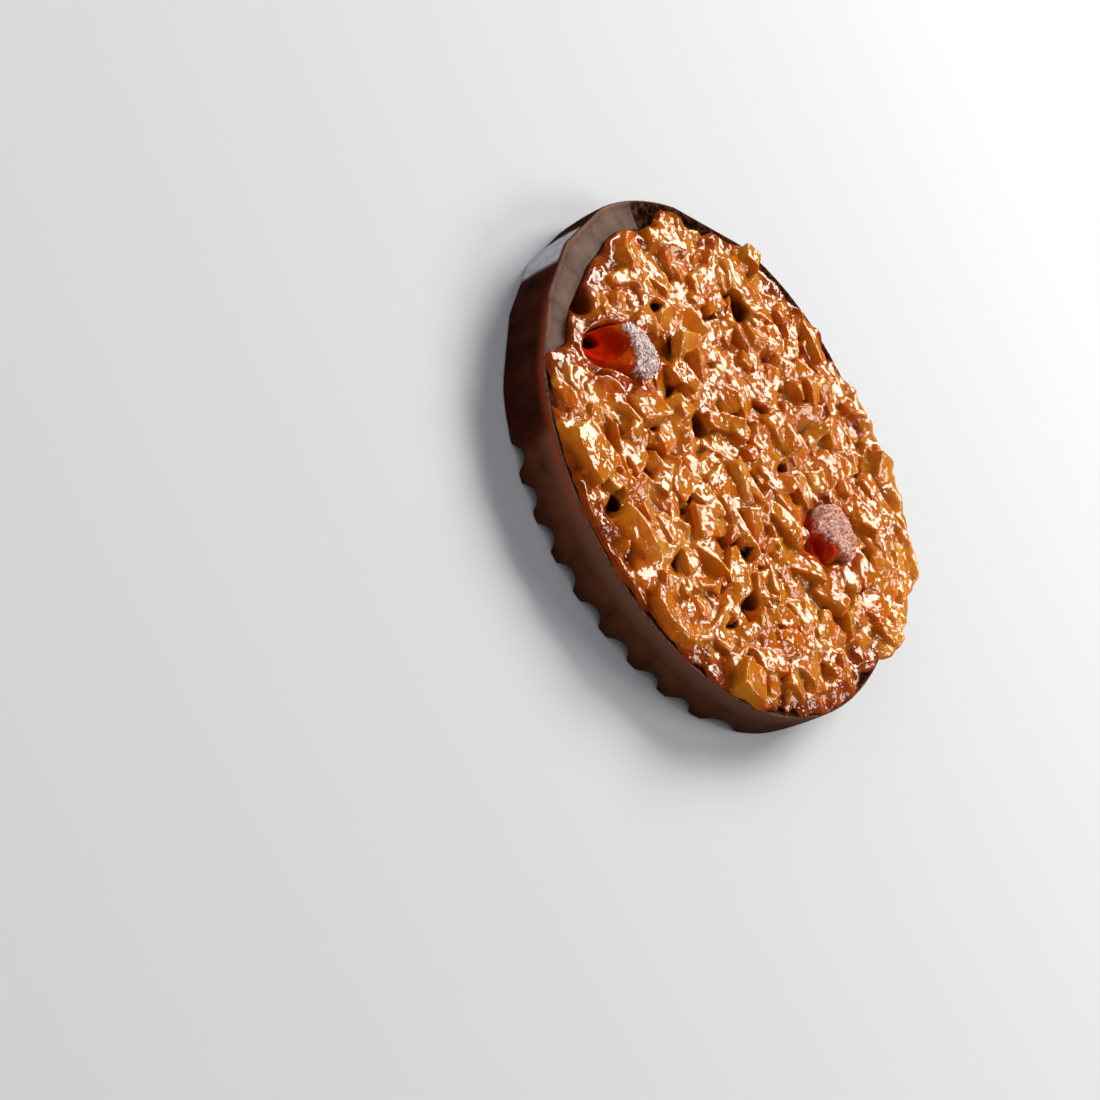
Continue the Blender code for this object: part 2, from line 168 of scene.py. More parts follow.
# Single large chips on top: x, y, length, width, thickness (mm), yaw, pitch, roll (degrees)
LARGE_CHIPS = (
    (-12.2, 17.7, 7.2, 5.8, 2.2, 60, 12, -14),
    (-11.4, -4.4, 5.2, 3.4, 1.7, 20, -10, 8),
    (-14.6, -0.6, 6.4, 3.6, 2.0, 75, 8, 12),
    (-8.0, -29.6, 8.4, 5.4, 3.0, 12, 4, -6),
    (4.0, -28.2, 8.0, 4.4, 2.8, 25, -4, 8),
    (14.8, -28.6, 7.4, 3.4, 2.4, 28, 3, -4),
    (26.0, -19.2, 5.6, 4.4, 2.8, 45, 4, -6),
    (3.9, -1.6, 6.6, 3.4, 2.1, 5, 10, -8),
    (-22.4, 23.6, 4.8, 3.6, 2.4, 130, 0, 0),
    (10.8, 3.2, 6.8, 3.0, 2.0, 10, -6, 8),
    (23.0, 20.2, 6.4, 4.6, 1.9, 55, 8, 12),
    (22.0, 6.0, 6.0, 3.2, 1.9, 30, -8, -6),
    (-3.2, 24.2, 6.2, 3.8, 2.0, 80, 8, 8),
)
# Bubble holes open upwards and towards the near side: x, y, width, depth (mm), darkness of the painted shade
# inside
HOLE_LEAN = 38.0 * DEG
HOLE_MOUTH = 0.3 * MM
HOLE_ROUND = 0.6 * MM
HOLE_REACH = 1.2 * MM
BUBBLES = (
    (-24.6, -16.9, 3.0, 1.9, 0.55),
    (-20.8, -2.3, 1.3, 1.8, 0.75),
    (-16.9, 16.2, 3.2, 2.2, 0.65),
    (-0.3, -29.0, 2.1, 2.8, 1.0),
    (12.1, -7.2, 1.5, 2.4, 0.9),
    (-4.8, -4.3, 2.2, 1.8, 0.55),
    (4.5, 9.3, 1.5, 1.6, 0.5),
    (17.9, -11.0, 2.4, 1.8, 0.5),
)

# Chocolate dish; the solids' outlines are measured in as many directions as they have sections
SECTIONS = 540
SOLID_SECTIONS = 112
SAME_HEIGHT = 0.01 * MM
RIM_ROUND = 0.35 * MM
# The lip falls towards the nuts, and is hollow where it is wider than this
LIP_FALL = 0.12 * MM
LIP_HOLLOW = 0.2 * MM
HOLLOW_START = 1.3 * MM
HOLLOW_FADE = 2.0 * MM
FLOOR_TOP = 3.9 * MM
FLOOR_INSET = 0.1 * MM
FOOT_INSET = 0.25 * MM
FOOT_ROUND = 0.5 * MM
WALL_BULGE = 0.10 * MM
# Wavy grooves combed along the underside: rows of points, spacing, place, width, depth and waves
COMB_ROWS = 128
COMB_PITCH = 5.2 * MM
COMB_START = 2.0 * MM
COMB_WIDTH = 3.7 * MM
COMB_DEPTH = 1.5 * MM
COMB_WAVE = 0.8 * MM
COMB_WAVE_LENGTH = 26.0 * MM
# They cut through the wall past this place along X, and elsewhere end this far inside the wall
NOTCH_START = -15.0 * MM
NOTCH_FADE = 5.0 * MM
COMB_END = 4.0 * MM
COMB_FADE = 3.0 * MM
# Painted shade: the wall's side is painted as nearly black chocolate up to this place along X
SHADED_SIDE_END = -12.0 * MM
SHADED_SIDE_FADE = 2.0 * MM
SHADED_SIDE_WAVE = 0.8 * MM
# Painted reflection: one flat of the wall gets a grey glare painted into its colour where it is seen aslant
GLARE_MIDDLE = -159.0 * DEG
GLARE_HALF = 8.0 * DEG
GLARE_TOP = 0.4 * MM
GLARE_FADE = 0.3 * MM
# Painted light: a red glow is painted into the top of the wall round this place along X, as if light shone
# through it
GLOW_MIDDLE = -14.0 * MM
GLOW_HALF = 18.0 * MM
GLOW_DEPTH = 1.6 * MM
# Painted sheen: the wide side of the lip has a greyish, bright sheen painted into its colour; the ledges are
# dark
WIDE_MIDDLE = -155.0 * DEG
WIDE_HALF = 32.0 * DEG
WIDE_FADE = 6.0 * DEG
# The wall's numbers fade out over the underside this far inside the wall
WALL_DEPTH = 1.0 * MM
WALL_FADE = 3.0 * MM
# The rim is worn this far down and inwards
WEAR_DEPTH = 0.22 * MM
WEAR_WIDTH = 0.28 * MM
# Chocolate crumbs on the ledges: sizes (mm) and margins, then from and to (degrees) and how many
CRUMB_SEED = 12
CRUMB_SIZES = (0.12, 0.38)
INNER_MARGIN = 0.2 * MM
OUTER_MARGIN = 0.35 * MM
CRUMB_ARCS = (
    (98.0, 128.0, 90),
    (140.0, 172.0, 130),
    (4.0, 18.0, 30),
)

# Candied cherries: yaw, seed, shift of the middle and added half length (mm), then in shares of the half
# size the cup's middle and reach, how far its floor lies below the middle, the stone hole's place and size,
# the side that is sugared, where the sugar starts on it, how many crystals it carries, how far syrup has
# soaked them, and from where on the caramel buries the cherry's lower end
Cherry = namedtuple("Cherry", "yaw seed shift longer cup cup_reach cup_floor hole hole_size "
                    "facing start crystals syrup buried")
CHERRIES = {
    "cherry_large": Cherry(-10 * DEG, 3, (0.2, 0.3), 1.5, (-0.42, -0.42), (0.72, 0.76), 0.4 * MM,
                           (-0.56, -0.58), 0.26, 82 * DEG, 0.20, 320, 0.05, 0.30),
    "cherry_small": Cherry(25 * DEG, 8, (0.6, 0.3), 0.0, (-0.35, -0.92), (0.50, 0.40), 0.0,
                           (0.0, 0.0), 0.0, 128 * DEG, -0.50, 150, 0.75, 0.60),
}
CHERRY_WOBBLE = 0.3 * MM
# Sugar crystals: half sizes (mm), and how far they stray from the skin
CRYSTAL_SIZES = (0.05, 0.14)
CRYSTAL_SCATTER = 0.05 * MM
# The sugared side stands higher, and falls away towards the red one
SUGAR_RISE = 0.5 * MM
RED_DROP = 1.4 * MM
BURIED_DROP = 1.4 * MM
# The stone hole sinks this much, and the part below the caramel is this much fuller
HOLE_DROP = 0.9 * MM
BELLY = 1.0 * MM
# The caramel stands round a cherry as a collar, and leaves room for it inside
COLLAR = 0.7 * MM
CHERRY_ROOM = 2.6 * MM
CHERRY_FILLET = 0.5 * MM
# Places where cherry juice has reddened the caramel: x, y, radius (mm)
STAINS = (
    (-13.4, -18.6, 3.6),
    (15.0, 6.4, 3.8),
    (-8.4, 26.8, 1.5),
)


# ---- Small helpers ----

def smoothstep(value):
    """0 below 0, 1 above 1 and a smooth rise between, for numbers and arrays."""
    clamped = np.clip(value, 0.0, 1.0)
    return clamped * clamped * (3.0 - 2.0 * clamped)


def smooth_min(first, second, blend):
    """The smaller of two distances, with a fillet where they meet."""
    mix = np.maximum(blend - np.abs(first - second), 0.0) / blend
    return np.minimum(first, second) - mix * mix * blend * 0.25


def between(angle, start, end, fade):
    """1 between two directions and 0 outside them, with a smooth change inside each."""
    return smoothstep((angle - start) / fade) * smoothstep((end - angle) / fade)


def away_from(angle, middle):
    """How far directions lie from a middle one, either way round."""
    return np.abs((angle - middle + math.pi) % math.tau - math.pi)


def squared_waves(shape, spacing):
    """Squared wave numbers of a periodic plane grid."""
    waves_x = np.fft.fftfreq(shape[0], spacing)[:, None]
    waves_y = np.fft.fftfreq(shape[1], spacing)[None, :]
    return waves_x ** 2 + waves_y ** 2


def soft_noise(shape, spacing, height, size, seed):
    """Smooth random relief on a periodic plane grid, of one height (its deviation) and size of bump."""
    white = np.random.default_rng(seed).normal(size=shape)
    reach = squared_waves(shape, spacing) * size ** 2
    relief = np.fft.ifft2(np.fft.fft2(white) * np.exp(-2.0 * reach) * np.sqrt(reach)).real
    return height * (relief / relief.std())


def blurred(relief, spacing, size):
    """A map blurred over one size."""
    reach = squared_waves(relief.shape, spacing) * (math.tau * size) ** 2
    return np.fft.ifft2(np.fft.fft2(relief) * np.exp(-0.5 * reach)).real


def make_piece(name, points, faces, numbers, materials, which=0, replaces=()):
    """A smooth-shaded mesh piece on the cookie's body, with numbers kept on its points.

    One number for all faces, or one for each, says which of its materials they have.
    """
    data = bpy.data.meshes.new(name)
    data.from_pydata(np.asarray(points).tolist(), [], np.asarray(faces).tolist())
    data.validate()
    data.shade_smooth()
    for key, values in numbers.items():
        layer = data.attributes.new(key, "FLOAT", "POINT")
        layer.data.foreach_set("value", np.asarray(values, dtype=np.float32))
    for material in materials:
        data.materials.append(material)
    data.polygons.foreach_set("material_index", np.full(len(data.polygons), which, dtype=np.int32))
    piece = bpy.data.objects.new(name, data)
    bpy.context.scene.collection.objects.link(piece)
    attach(piece, "root")
    if replaces:
        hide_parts(*replaces)
    return piece


def point_array(data):
    """The points of a mesh as an array."""
    points = np.zeros(len(data.vertices) * 3)
    data.vertices.foreach_get("co", points)
    return points.reshape(-1, 3)


# ---- Outlines measured on the solids ----

def outline(points):
    """A function of the angle through the outermost points in each direction, straight between them."""
    step = 360.0 / SOLID_SECTIONS
    sectors = np.rint(np.degrees(np.arctan2(points[:, 1], points[:, 0])) / step).astype(int) % SOLID_SECTIONS
    radii = np.zeros(SOLID_SECTIONS)
    np.maximum.at(radii, sectors, np.hypot(points[:, 0], points[:, 1]))
    known = np.flatnonzero(radii)
    directions = np.radians(step * np.concatenate((known, known[:1] + SOLID_SECTIONS)))
    reaches = np.concatenate((radii[known], radii[known[:1]]))

    def radius(angle):
        wrapped = (np.asarray(angle, dtype=float) - directions[0]) % (2.0 * math.pi) + directions[0]
        after = np.clip(np.searchsorted(directions, wrapped, side="right"), 1, len(known))
        before = after - 1
        near = np.sin(directions[after] - wrapped) / reaches[before]
        far = np.sin(wrapped - directions[before]) / reaches[after]
        return np.sin(directions[after] - directions[before]) / (near + far)

    return radius


def band(points, height):
    """The points of a solid at one height."""
    return points[np.abs(points[:, 2] - height) < SAME_HEIGHT]


chocolate_points = point_array(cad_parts["chocolate_base"].data)
nut_points = point_array(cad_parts["nut_layer"].data)
RIM_HEIGHT = chocolate_points[:, 2].max()
rim_radius = outline(band(chocolate_points, RIM_HEIGHT - RIM_ROUND))
dish_radius = outline(band(chocolate_points, RIM_HEIGHT - 2.0 * RIM_ROUND))
nut_radius = outline(nut_points)


def bed_radius(angle):
    """Outline of the nuts seen from above, without its rounded edge."""
    return nut_radius(angle) - EDGE_ROUND


def edge_share(x, y):
    """0 over the middle of the nuts, rising to 1 at their edge."""
    return smoothstep((np.hypot(x, y) / bed_radius(np.arctan2(y, x)) - 0.74) / 0.26)


def lap_share(x, y):
    """1 in the directions where the caramel laps over the rim."""
    return between(np.arctan2(y, x), LAP_START, LAP_END, LAP_FADE)


def bed_level(x, y):
    """Mean height of the nuts: level in the middle, falling towards the edge."""
    swell = np.sin(x / BED_WAVES[0] + 1.3) * np.sin(y / BED_WAVES[1] + 0.4)
    return BED_TOP - EDGE_DROP * edge_share(x, y) + BED_SWELL * swell


def cherry_middle(name):
    """Middle and half sizes of a cherry, in its own turned axes."""
    cherry = CHERRIES[name]
    low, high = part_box(name)
    middle = (np.array(low) + np.array(high)) / 2
    turn = np.array(Euler((0.0, 0.0, cherry.yaw)).to_matrix())
    half = np.abs((point_array(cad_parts[name].data) - middle) @ turn).max(0)
    half[1] += cherry.longer * MM
    middle[:2] += np.array(cherry.shift) * MM
    return middle, half, turn


def cherry_share(x, y):
    """Distance from the nearest cherry's middle: 1 on its outline, less inside and more outside."""
    return np.minimum(*(np.hypot(*cherry_place(name, x, y)) for name in CHERRIES))


def cherry_place(name, x, y):
    """Where points lie across and along a cherry, in shares of its half sizes."""
    middle, half, turn = CHERRY_SIZES[name]
    across = ((x - middle[0]) * turn[0, 0] + (y - middle[1]) * turn[1, 0]) / half[0]
    along = ((x - middle[0]) * turn[0, 1] + (y - middle[1]) * turn[1, 1]) / half[1]
    return across, along


def buried_share(name, across, along):
    """1 over the end of a cherry that lies under the caramel, 0 where it shows."""
    return smoothstep((across - 0.6 * along - CHERRIES[name].buried) / 0.3)


CHERRY_SIZES = {name: cherry_middle(name) for name in CHERRIES}


def caramel_level(x, y):
    """Height of the caramel between the chips: fuller at the edge and round the cherries."""
    edge = edge_share(x, y)
    level = bed_level(x, y) - CARAMEL_SINK * (1.0 - EDGE_FILL * edge) + LAP_RISE * edge * lap_share(x, y)
    for name in CHERRIES:
        across, along = cherry_place(name, x, y)
        share = np.hypot(across, along)
        seen = 1.0 - buried_share(name, across, along)
        collar = COLLAR * (1.0 - smoothstep((-0.3 - along) / 0.5))
        level += collar * smoothstep((share - 0.8 * seen) / 0.2) * smoothstep((1.4 - share) / 0.35)
        level -= CHERRY_ROOM * smoothstep((0.95 - share) / 0.2) * seen
    return level


# ---- Almond chips ----

class Chip:
    """One chopped piece: a rounded block with random cut faces, bent a little along its length."""

    def __init__(self, kind, place, sizes, turn, rng, bare_share):
        self.kind = kind
        self.bare = rng.uniform() < bare_share
        self.place = np.array(place)
        self.half = np.array(sizes) / 2
        self.axes = np.array(Euler(turn).to_matrix())
        self.tone = rng.uniform(0.0, 1.0)
        self.bend = rng.uniform(-0.5, 0.9) * (CHIP_BEND if kind != "nib" else 0.0)
        height = np.abs(self.axes[2]) @ self.half + 0.8 * max(self.bend, 0.0) * self.half[0] ** 2
        self.place[2] = min(self.place[2], CAD_BOX[1][2] - TOP_MARGIN - height)
        normals = []
        reaches = []
        for axis in range(3):
            for sign in (-1.0, 1.0):
                normal = rng.normal(0.0, FACE_TILT, 3)
                normal[axis] += sign
                normals.append(normal / np.linalg.norm(normal))
                reaches.append(self.half[axis] * rng.uniform(*FACE_PLACES))
        for _ in range(CHAMFER_COUNT):
            normal = rng.normal(size=3) / self.half
            normal /= np.linalg.norm(normal)
            normals.append(normal)
            reaches.append(np.abs(normal) @ self.half * rng.uniform(*CHAMFER_PLACES))
        self.cuts = (np.array(normals) / np.array(reaches)[:, None]).astype(np.float32)

    def gauge(self, local):
        """1 on the chip's surface, less inside and more outside."""
        sides = np.maximum(local @ self.cuts.T, 0.0)
        return (sides ** CHIP_SHARPNESS).sum(-1) ** (1.0 / CHIP_SHARPNESS)

    def distance(self, points):
        """Distance of points from the chip's surface, negative inside."""
        local = (points - self.place.astype(np.float32)) @ self.axes.astype(np.float32)
        local[..., 2] -= self.bend * local[..., 0] ** 2
        length = np.sqrt((local ** 2).sum(-1))
        return length * (1.0 - 1.0 / np.maximum(self.gauge(local), 1e-4))

    def surface(self, directions):
        """The chip's surface points along directions from its middle."""
        local = directions * (MM / self.gauge((directions * MM).astype(np.float32)))[:, None]
        local[:, 2] += self.bend * local[:, 0] ** 2
        return local @ self.axes.T + self.place


def around_hole(points, x, y):
    """How far points lie from the axis of a bubble hole, and how far out along it from its mouth."""
    axis = np.array((0.0, -math.sin(HOLE_LEAN), math.cos(HOLE_LEAN)))
    offset = points - np.array((x, y, bed_level(x, y) - HOLE_MOUTH))
    out = offset @ axis
    across = np.sqrt(np.maximum((offset ** 2).sum(-1) - out ** 2, 0.0))
    turn = np.arctan2(offset[..., 0], offset[..., 1])
    uneven = 1.0 + 0.22 * np.sin(2.0 * turn + x / MM) + 0.14 * np.sin(3.0 * turn + y / MM)
    return across * uneven, out


def inside_bubble(x, y, margin):
    """Whether a point lies over a bubble hole."""
    return any(math.hypot(x - hole_x * MM, y - hole_y * MM) < width * MM / 2 + margin
               for hole_x, hole_y, width, _, _ in BUBBLES)


def scatter_layer(rng, pitch):
    """Places, sizes and turns of one layer of chips, on a jittered triangular grid."""
    rows = int(SCATTER_WIDTH / pitch)
    for row in range(-rows // 2, rows // 2 + 2):
        for column in range(-rows // 2, rows // 2 + 2):
            x = (column + 0.5 * (row % 2) + rng.uniform(-CHIP_JITTER, CHIP_JITTER)) * pitch
            y = (row + rng.uniform(-CHIP_JITTER, CHIP_JITTER)) * pitch * math.sqrt(0.75)
            pick = rng.random()
            shape = [rng.random() for _ in range(3)]
            turn = [rng.uniform(-0.5, 0.5) for _ in range(3)]
            lift = rng.uniform(-CHIP_LIFT, CHIP_LIFT)
            for kind, share, *ranges in CHIP_KINDS:
                if pick < share:
                    break
                pick -= share
            sizes = [(low + (high - low) * t) * MM for (low, high), t in zip(ranges, shape)]
            reach = bed_radius(math.atan2(y, x)) - 0.4 * sizes[1]
            on_cherry = cherry_share(x, y) < CHERRY_CLEARANCE
            if math.hypot(x, y) > reach or on_cherry or inside_bubble(x, y, BUBBLE_CLEARANCE):
                continue
            yield kind, x, y, lift, sizes, (turn[0] * CHIP_TILT, turn[1] * CHIP_TILT, turn[2] * CHIP_YAW)


def scatter_chips():
    """The upper layer of chips, the lower layer, and the single large chips on top."""
    cuts = np.random.default_rng(CHIP_SEED)
    chips = []
    for kind, x, y, lift, sizes, angles in scatter_layer(random.Random(CHIP_SEED), CHIP_PITCH):
        inside = bed_radius(math.atan2(y, x)) - math.hypot(x, y) > 0.5 * sizes[0]
        inside = inside and not inside_bubble(x, y, 0.6 * sizes[0])
        height = bed_level(x, y) + lift - 0.3 * sizes[2]
        bare_share = BARE_SHARE if inside and kind != "crumb" else 0.0
        chips.append(Chip(kind, (x, y, height), sizes, angles, cuts, bare_share))
    for kind, x, y, lift, sizes, angles in scatter_layer(random.Random(LOWER_SEED), LOWER_PITCH):
        if math.hypot(x, y) < dish_radius(math.atan2(y, x)) - LOWER_MARGIN:
            height = bed_level(x, y) + lift - LOWER_SINK
            chips.append(Chip(kind, (x, y, height), sizes, angles, cuts, 0.0))
    for x, y, length, width, thick, yaw, pitch, roll in LARGE_CHIPS:
        place = (x * MM, y * MM, bed_level(x * MM, y * MM) + LARGE_LIFT)
        sizes = (length * MM, width * MM, thick * MM)
        inside = math.hypot(*place[:2]) < LARGE_BARE_REACH and not inside_bubble(*place[:2], 0.5 * sizes[0])
        bare_share = LARGE_BARE_SHARE if inside else 0.0
        chips.append(Chip("large", place, sizes, (roll * DEG, pitch * DEG, yaw * DEG), cuts, bare_share))
    return chips


# ---- Caramel: a field of distances, and the surface where it is zero ----

NUT_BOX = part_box("nut_layer")
EVERYWHERE = (slice(None),) * 3


class Grid:
    """Even grid of points round the nut layer."""

    def __init__(self):
        low = np.array(NUT_BOX[0]) - 3.0 * CELL
        high = np.array(NUT_BOX[1]) + 3.0 * CELL
        low[:2] = np.minimum(low[:2], FIELD_LOW)
        high[:2] = np.maximum(high[:2], FIELD_HIGH)
        high[2] += FIELD_HEADROOM
        self.low = low
        self.count = np.ceil((high - low) / CELL).astype(int) + 1
        self.axes = [(low[axis] + CELL * np.arange(self.count[axis])).astype(np.float32) for axis in range(3)]

    def window(self, middle, reach):
        """Slices of the grid within a reach of a point, and the points there."""
        first = np.maximum(np.floor((middle - reach - self.low) / CELL).astype(int), 0)
        last = np.minimum(np.ceil((middle + reach - self.low) / CELL).astype(int) + 1, self.count)
        slices = tuple(slice(start, stop) for start, stop in zip(first, last))
        axes = [axis[part] for axis, part in zip(self.axes, slices)]
        return slices, np.stack(np.meshgrid(*axes, indexing="ij"), axis=-1)

    def sample(self, field, points):
        """Values of a field at points, from the nearest grid point."""
        index = np.rint((points - self.low) / CELL).astype(int)
        index = np.clip(index, 0, self.count - 1)
        return field[tuple(index.T[: field.ndim])]


class Field:
    """Distances from the surface of the caramel and its chips, and what lies nearest, on a grid."""

    def __init__(self, grid, chips):
        self.grid = grid
        x, y = np.meshgrid(grid.axes[0], grid.axes[1], indexing="ij")
        height = grid.axes[2][None, None, :]
        level = caramel_level(x, y) + soft_noise(x.shape, CELL, *SWELL)
        crinkle = soft_noise(x.shape, CELL, *CRINKLE)
        self.distance = (height - level[:, :, None]).astype(np.float32)
        self.film = np.full(self.distance.shape, 4.0 * MM, np.float32)
        self.tone = np.full(self.distance.shape, 0.5, np.float32)
        for chip in chips:
            self.add_chip(chip)
        self.distance -= crinkle.astype(np.float32)[:, :, None]
        self.cut_outline(x, y, height)
        for bubble_x, bubble_y, width, depth, _ in BUBBLES:
            self.cut_bubble(bubble_x * MM, bubble_y * MM, width * MM, depth * MM)
        for name in CHERRIES:
            self.cut_cherry(name)
        self.local_mean = self.blurred_top()

    def add_chip(self, chip):
        """Joins a chip to the caramel: just under its surface, or over it if the chip lies bare."""
        slices, points = self.grid.window(chip.place, np.abs(chip.axes) @ chip.half + CHIP_REACH)
        distance = chip.distance(points)
        nearer = distance < self.film[slices]
        self.tone[slices][nearer] = chip.tone
        self.film[slices][nearer] = distance[nearer]
        cover = BARE_CHIP_RISE if chip.bare else -CARAMEL_FILM
        self.distance[slices] = smooth_min(self.distance[slices], distance + cover, CARAMEL_BLEND)

    def carve(self, slices, room, rounding):
        """Keeps only what lies within a room (negative inside it), with a rounded edge."""
        self.distance[slices] = -smooth_min(-self.distance[slices], -room.astype(np.float32), rounding)

    def cut_outline(self, x, y, height):
        """Ends the caramel at the dish's wall below the rim, and at the outline of the nuts above it."""
        angle = np.arctan2(y, x)
        radius = np.hypot(x, y)
        lobes = EDGE_LOBES * (np.sin(31.0 * angle) + np.sin(47.0 * angle + 2.0)) / 2
        covered = between(angle, COVER_START, COVER_END, COVER_FADE)
        reach = np.maximum(bed_radius(angle) + EDGE_ROUND, dish_radius(angle) + RIM_COVER * covered)
        inner_reach = np.minimum(reach, rim_radius(angle) - RIM_MARGIN)
        lap = lap_share(x, y)
        reach = inner_reach + (reach - inner_reach) * lap + EDGE_LOSS + lobes
        self.carve(EVERYWHERE, (radius - reach)[:, :, None] + 0.0 * height, 4.0 * EDGE_LOSS)
        in_dish = (radius - dish_radius(angle) - RIM_GAP)[:, :, None]
        above_rim = RIM_HEIGHT + RIM_GAP - height
        outside = (rim_radius(angle) + LAP_GAP - radius)[:, :, None]
        past_rim = np.maximum(outside, above_rim - LAP_DROOP * lap[:, :, None])
        self.carve(EVERYWHERE, np.minimum(np.minimum(in_dish, above_rim), past_rim), RIM_FILLET)
        self.distance = np.maximum(self.distance, NUT_BOX[0].z - height).astype(np.float32)

    def cut_bubble(self, x, y, width, depth):
        """Sinks a round-bottomed bubble hole, a little wider at its mouth."""
        middle = np.array((x, y, bed_level(x, y)))
        slices, points = self.grid.window(middle, np.array((width, 1.6 * width, depth)) + HOLE_REACH)
        across, out = around_hole(points, x, y)
        wide = width / 2 + 0.2 * np.maximum(out, 0.0)
        hole = (np.sqrt((across / wide) ** 2 + (np.maximum(-out, 0.0) / depth) ** 2) - 1.0) * width / 2
        self.carve(slices, -hole, HOLE_ROUND)

    def cut_cherry(self, name):
        """Clears the caramel and chips off the side of a cherry that shows."""
        middle, half, _ = CHERRY_SIZES[name]
        slices, points = self.grid.window(middle, np.full(3, 1.2 * half.max()))
        across, along = cherry_place(name, points[..., 0], points[..., 1])
        room = (np.hypot(across, along) - 0.93) * half[0] + 3.0 * MM * buried_share(name, across, along)
        self.carve(slices, -np.maximum(room, middle[2] - CHERRY_ROOM - points[..., 2]), CHERRY_FILLET)

    def blurred_top(self):
        """Mean height of the top round each point of the plan."""
        solid = self.distance < 0.0
        highest = solid.shape[2] - 1 - np.argmax(solid[:, :, ::-1], axis=2)
        heights = np.where(solid.any(2), self.grid.axes[2][highest], RIM_HEIGHT)
        return blurred(heights, CELL, MEAN_TOP_SIZE)

    def rise(self, points):
        """How far points stand above the mean top round them, in millimetres."""
        return (points[:, 2] - self.grid.sample(self.local_mean, points)) / MM


def overhang(points):
    """How far points lie outside the chocolate's rim, in millimetres, where the caramel laps over it."""
    x, y = points[:, 0], points[:, 1]
    past = (np.hypot(x, y) - rim_radius(np.arctan2(y, x))) / MM
    return np.where(lap_share(x, y) > 0.0, past, -9.0)


def stain(points):
    """How far cherry juice has reddened the caramel at points."""
    x, y = points[:, 0], points[:, 1]
    red = smoothstep((1.45 - cherry_share(x, y)) / 0.4)
    for spot_x, spot_y, radius in STAINS:
        away = np.hypot(x - spot_x * MM, y - spot_y * MM) / (radius * MM)
        red = np.maximum(red, smoothstep((1.0 - away) / 0.6))
    return red


def pit_shade(points):
    """Painted shade by how deep points lie in a bubble hole: 0 at its mouth, up to its darkness well inside.
    """
    inside = np.zeros(len(points))
    for hole_x, hole_y, width, depth, darkness in BUBBLES:
        across, out = around_hole(points, hole_x * MM, hole_y * MM)
        near = smoothstep((0.5 * width * MM + 0.3 * MM - across) / (0.3 * MM))
        deep = smoothstep((0.1 * MM - out) / (0.7 * depth * MM))
        inside = np.maximum(inside, darkness * near * deep * (-out < 1.2 * depth * MM))
    return inside


def surface_of(field, grid):
    """Points and quads of a field's zero surface, one point in each cell that it crosses."""
    inside = field < 0.0
    cells = np.array(field.shape) - 1
    total = np.zeros((cells.prod(), 3))
    crossings = np.zeros(cells.prod())
    quads = []
    for axis in range(3):
        ahead = [slice(None)] * 3
        behind = [slice(None)] * 3
        ahead[axis] = slice(1, None)
        behind[axis] = slice(None, -1)
        near, far = field[tuple(behind)], field[tuple(ahead)]
        spots = np.argwhere(inside[tuple(behind)] != inside[tuple(ahead)])
        before = near[tuple(spots.T)]
        after = far[tuple(spots.T)]
        place = spots.astype(float)
        place[:, axis] += before / (before - after)
        others = [(axis + 1) % 3, (axis + 2) % 3]
        corners = []
        usable = np.ones(len(spots), bool)
        for shift in ((0, 0), (1, 0), (1, 1), (0, 1)):
            cell = spots.copy()
            cell[:, others[0]] -= shift[0]
            cell[:, others[1]] -= shift[1]
            usable &= ((cell >= 0) & (cell < cells)).all(1)
            corners.append(cell)
        flats = [np.ravel_multi_index(cell[usable].T, cells) for cell in corners]
        for flat in flats:
            np.add.at(crossings, flat, 1.0)
            for part in range(3):
                total[:, part] += np.bincount(flat, place[usable][:, part], minlength=len(crossings))
        quad = np.stack(flats, axis=1)
        flip = before[usable] > 0.0
        quad[flip] = quad[flip][:, ::-1]
        quads.append(quad)
    quads = np.concatenate(quads)
    used = np.flatnonzero(crossings)
    number = np.zeros(len(crossings), int)
    number[used] = np.arange(len(used))
    points = total[used] / crossings[used][:, None] * CELL + grid.low
    return points, number[quads]


def thinned(points, faces, limit):
    """The same surface with fewer triangles: flat parts get large ones, edges keep small ones."""
    data = bpy.data.meshes.new("thinning")
    data.from_pydata(points.tolist(), [], faces.tolist())
    thing = bpy.data.objects.new("thinning", data)
    bpy.context.scene.collection.objects.link(thing)
    modifier = thing.modifiers.new("fewer", "DECIMATE")
    modifier.ratio = min(1.0, limit / (2.0 * len(faces)))
    bpy.context.view_layer.update()
    result = bpy.data.meshes.new_from_object(thing.evaluated_get(bpy.context.evaluated_depsgraph_get()))
    thin_points = point_array(result)
    result.calc_loop_triangles()
    corners = np.zeros(len(result.loop_triangles) * 3, int)
    result.loop_triangles.foreach_get("vertices", corners)
    bpy.data.objects.remove(thing, do_unlink=True)
    return thin_points, corners.reshape(-1, 3)


def build_caramel(field):
    """The caramel between and over the chips."""
    points, quads = surface_of(field.distance, field.grid)
    points, triangles = thinned(points, quads, CARAMEL_FACES)
    numbers = {
        "film": np.clip(field.grid.sample(field.film, points) / MM, -1.0, 4.0),
        "tone": field.grid.sample(field.tone, points),
        "rise": field.rise(points),
        "overhang": overhang(points),
        "stain": stain(points),
        "pit_shade": pit_shade(points),
    }
    make_piece("caramel", points, triangles, numbers, [caramel_material()],
               replaces=["nut_layer"])


def ball_mesh(subdivisions):
    """Directions and triangles of an even ball."""
    ball = bmesh.new()
    bmesh.ops.create_icosphere(ball, subdivisions=subdivisions, radius=1.0)
    directions = np.array([vertex.co.normalized() for vertex in ball.verts])
    triangles = np.array([[vertex.index for vertex in face.verts] for face in ball.faces])
    ball.free()
    return directions, triangles


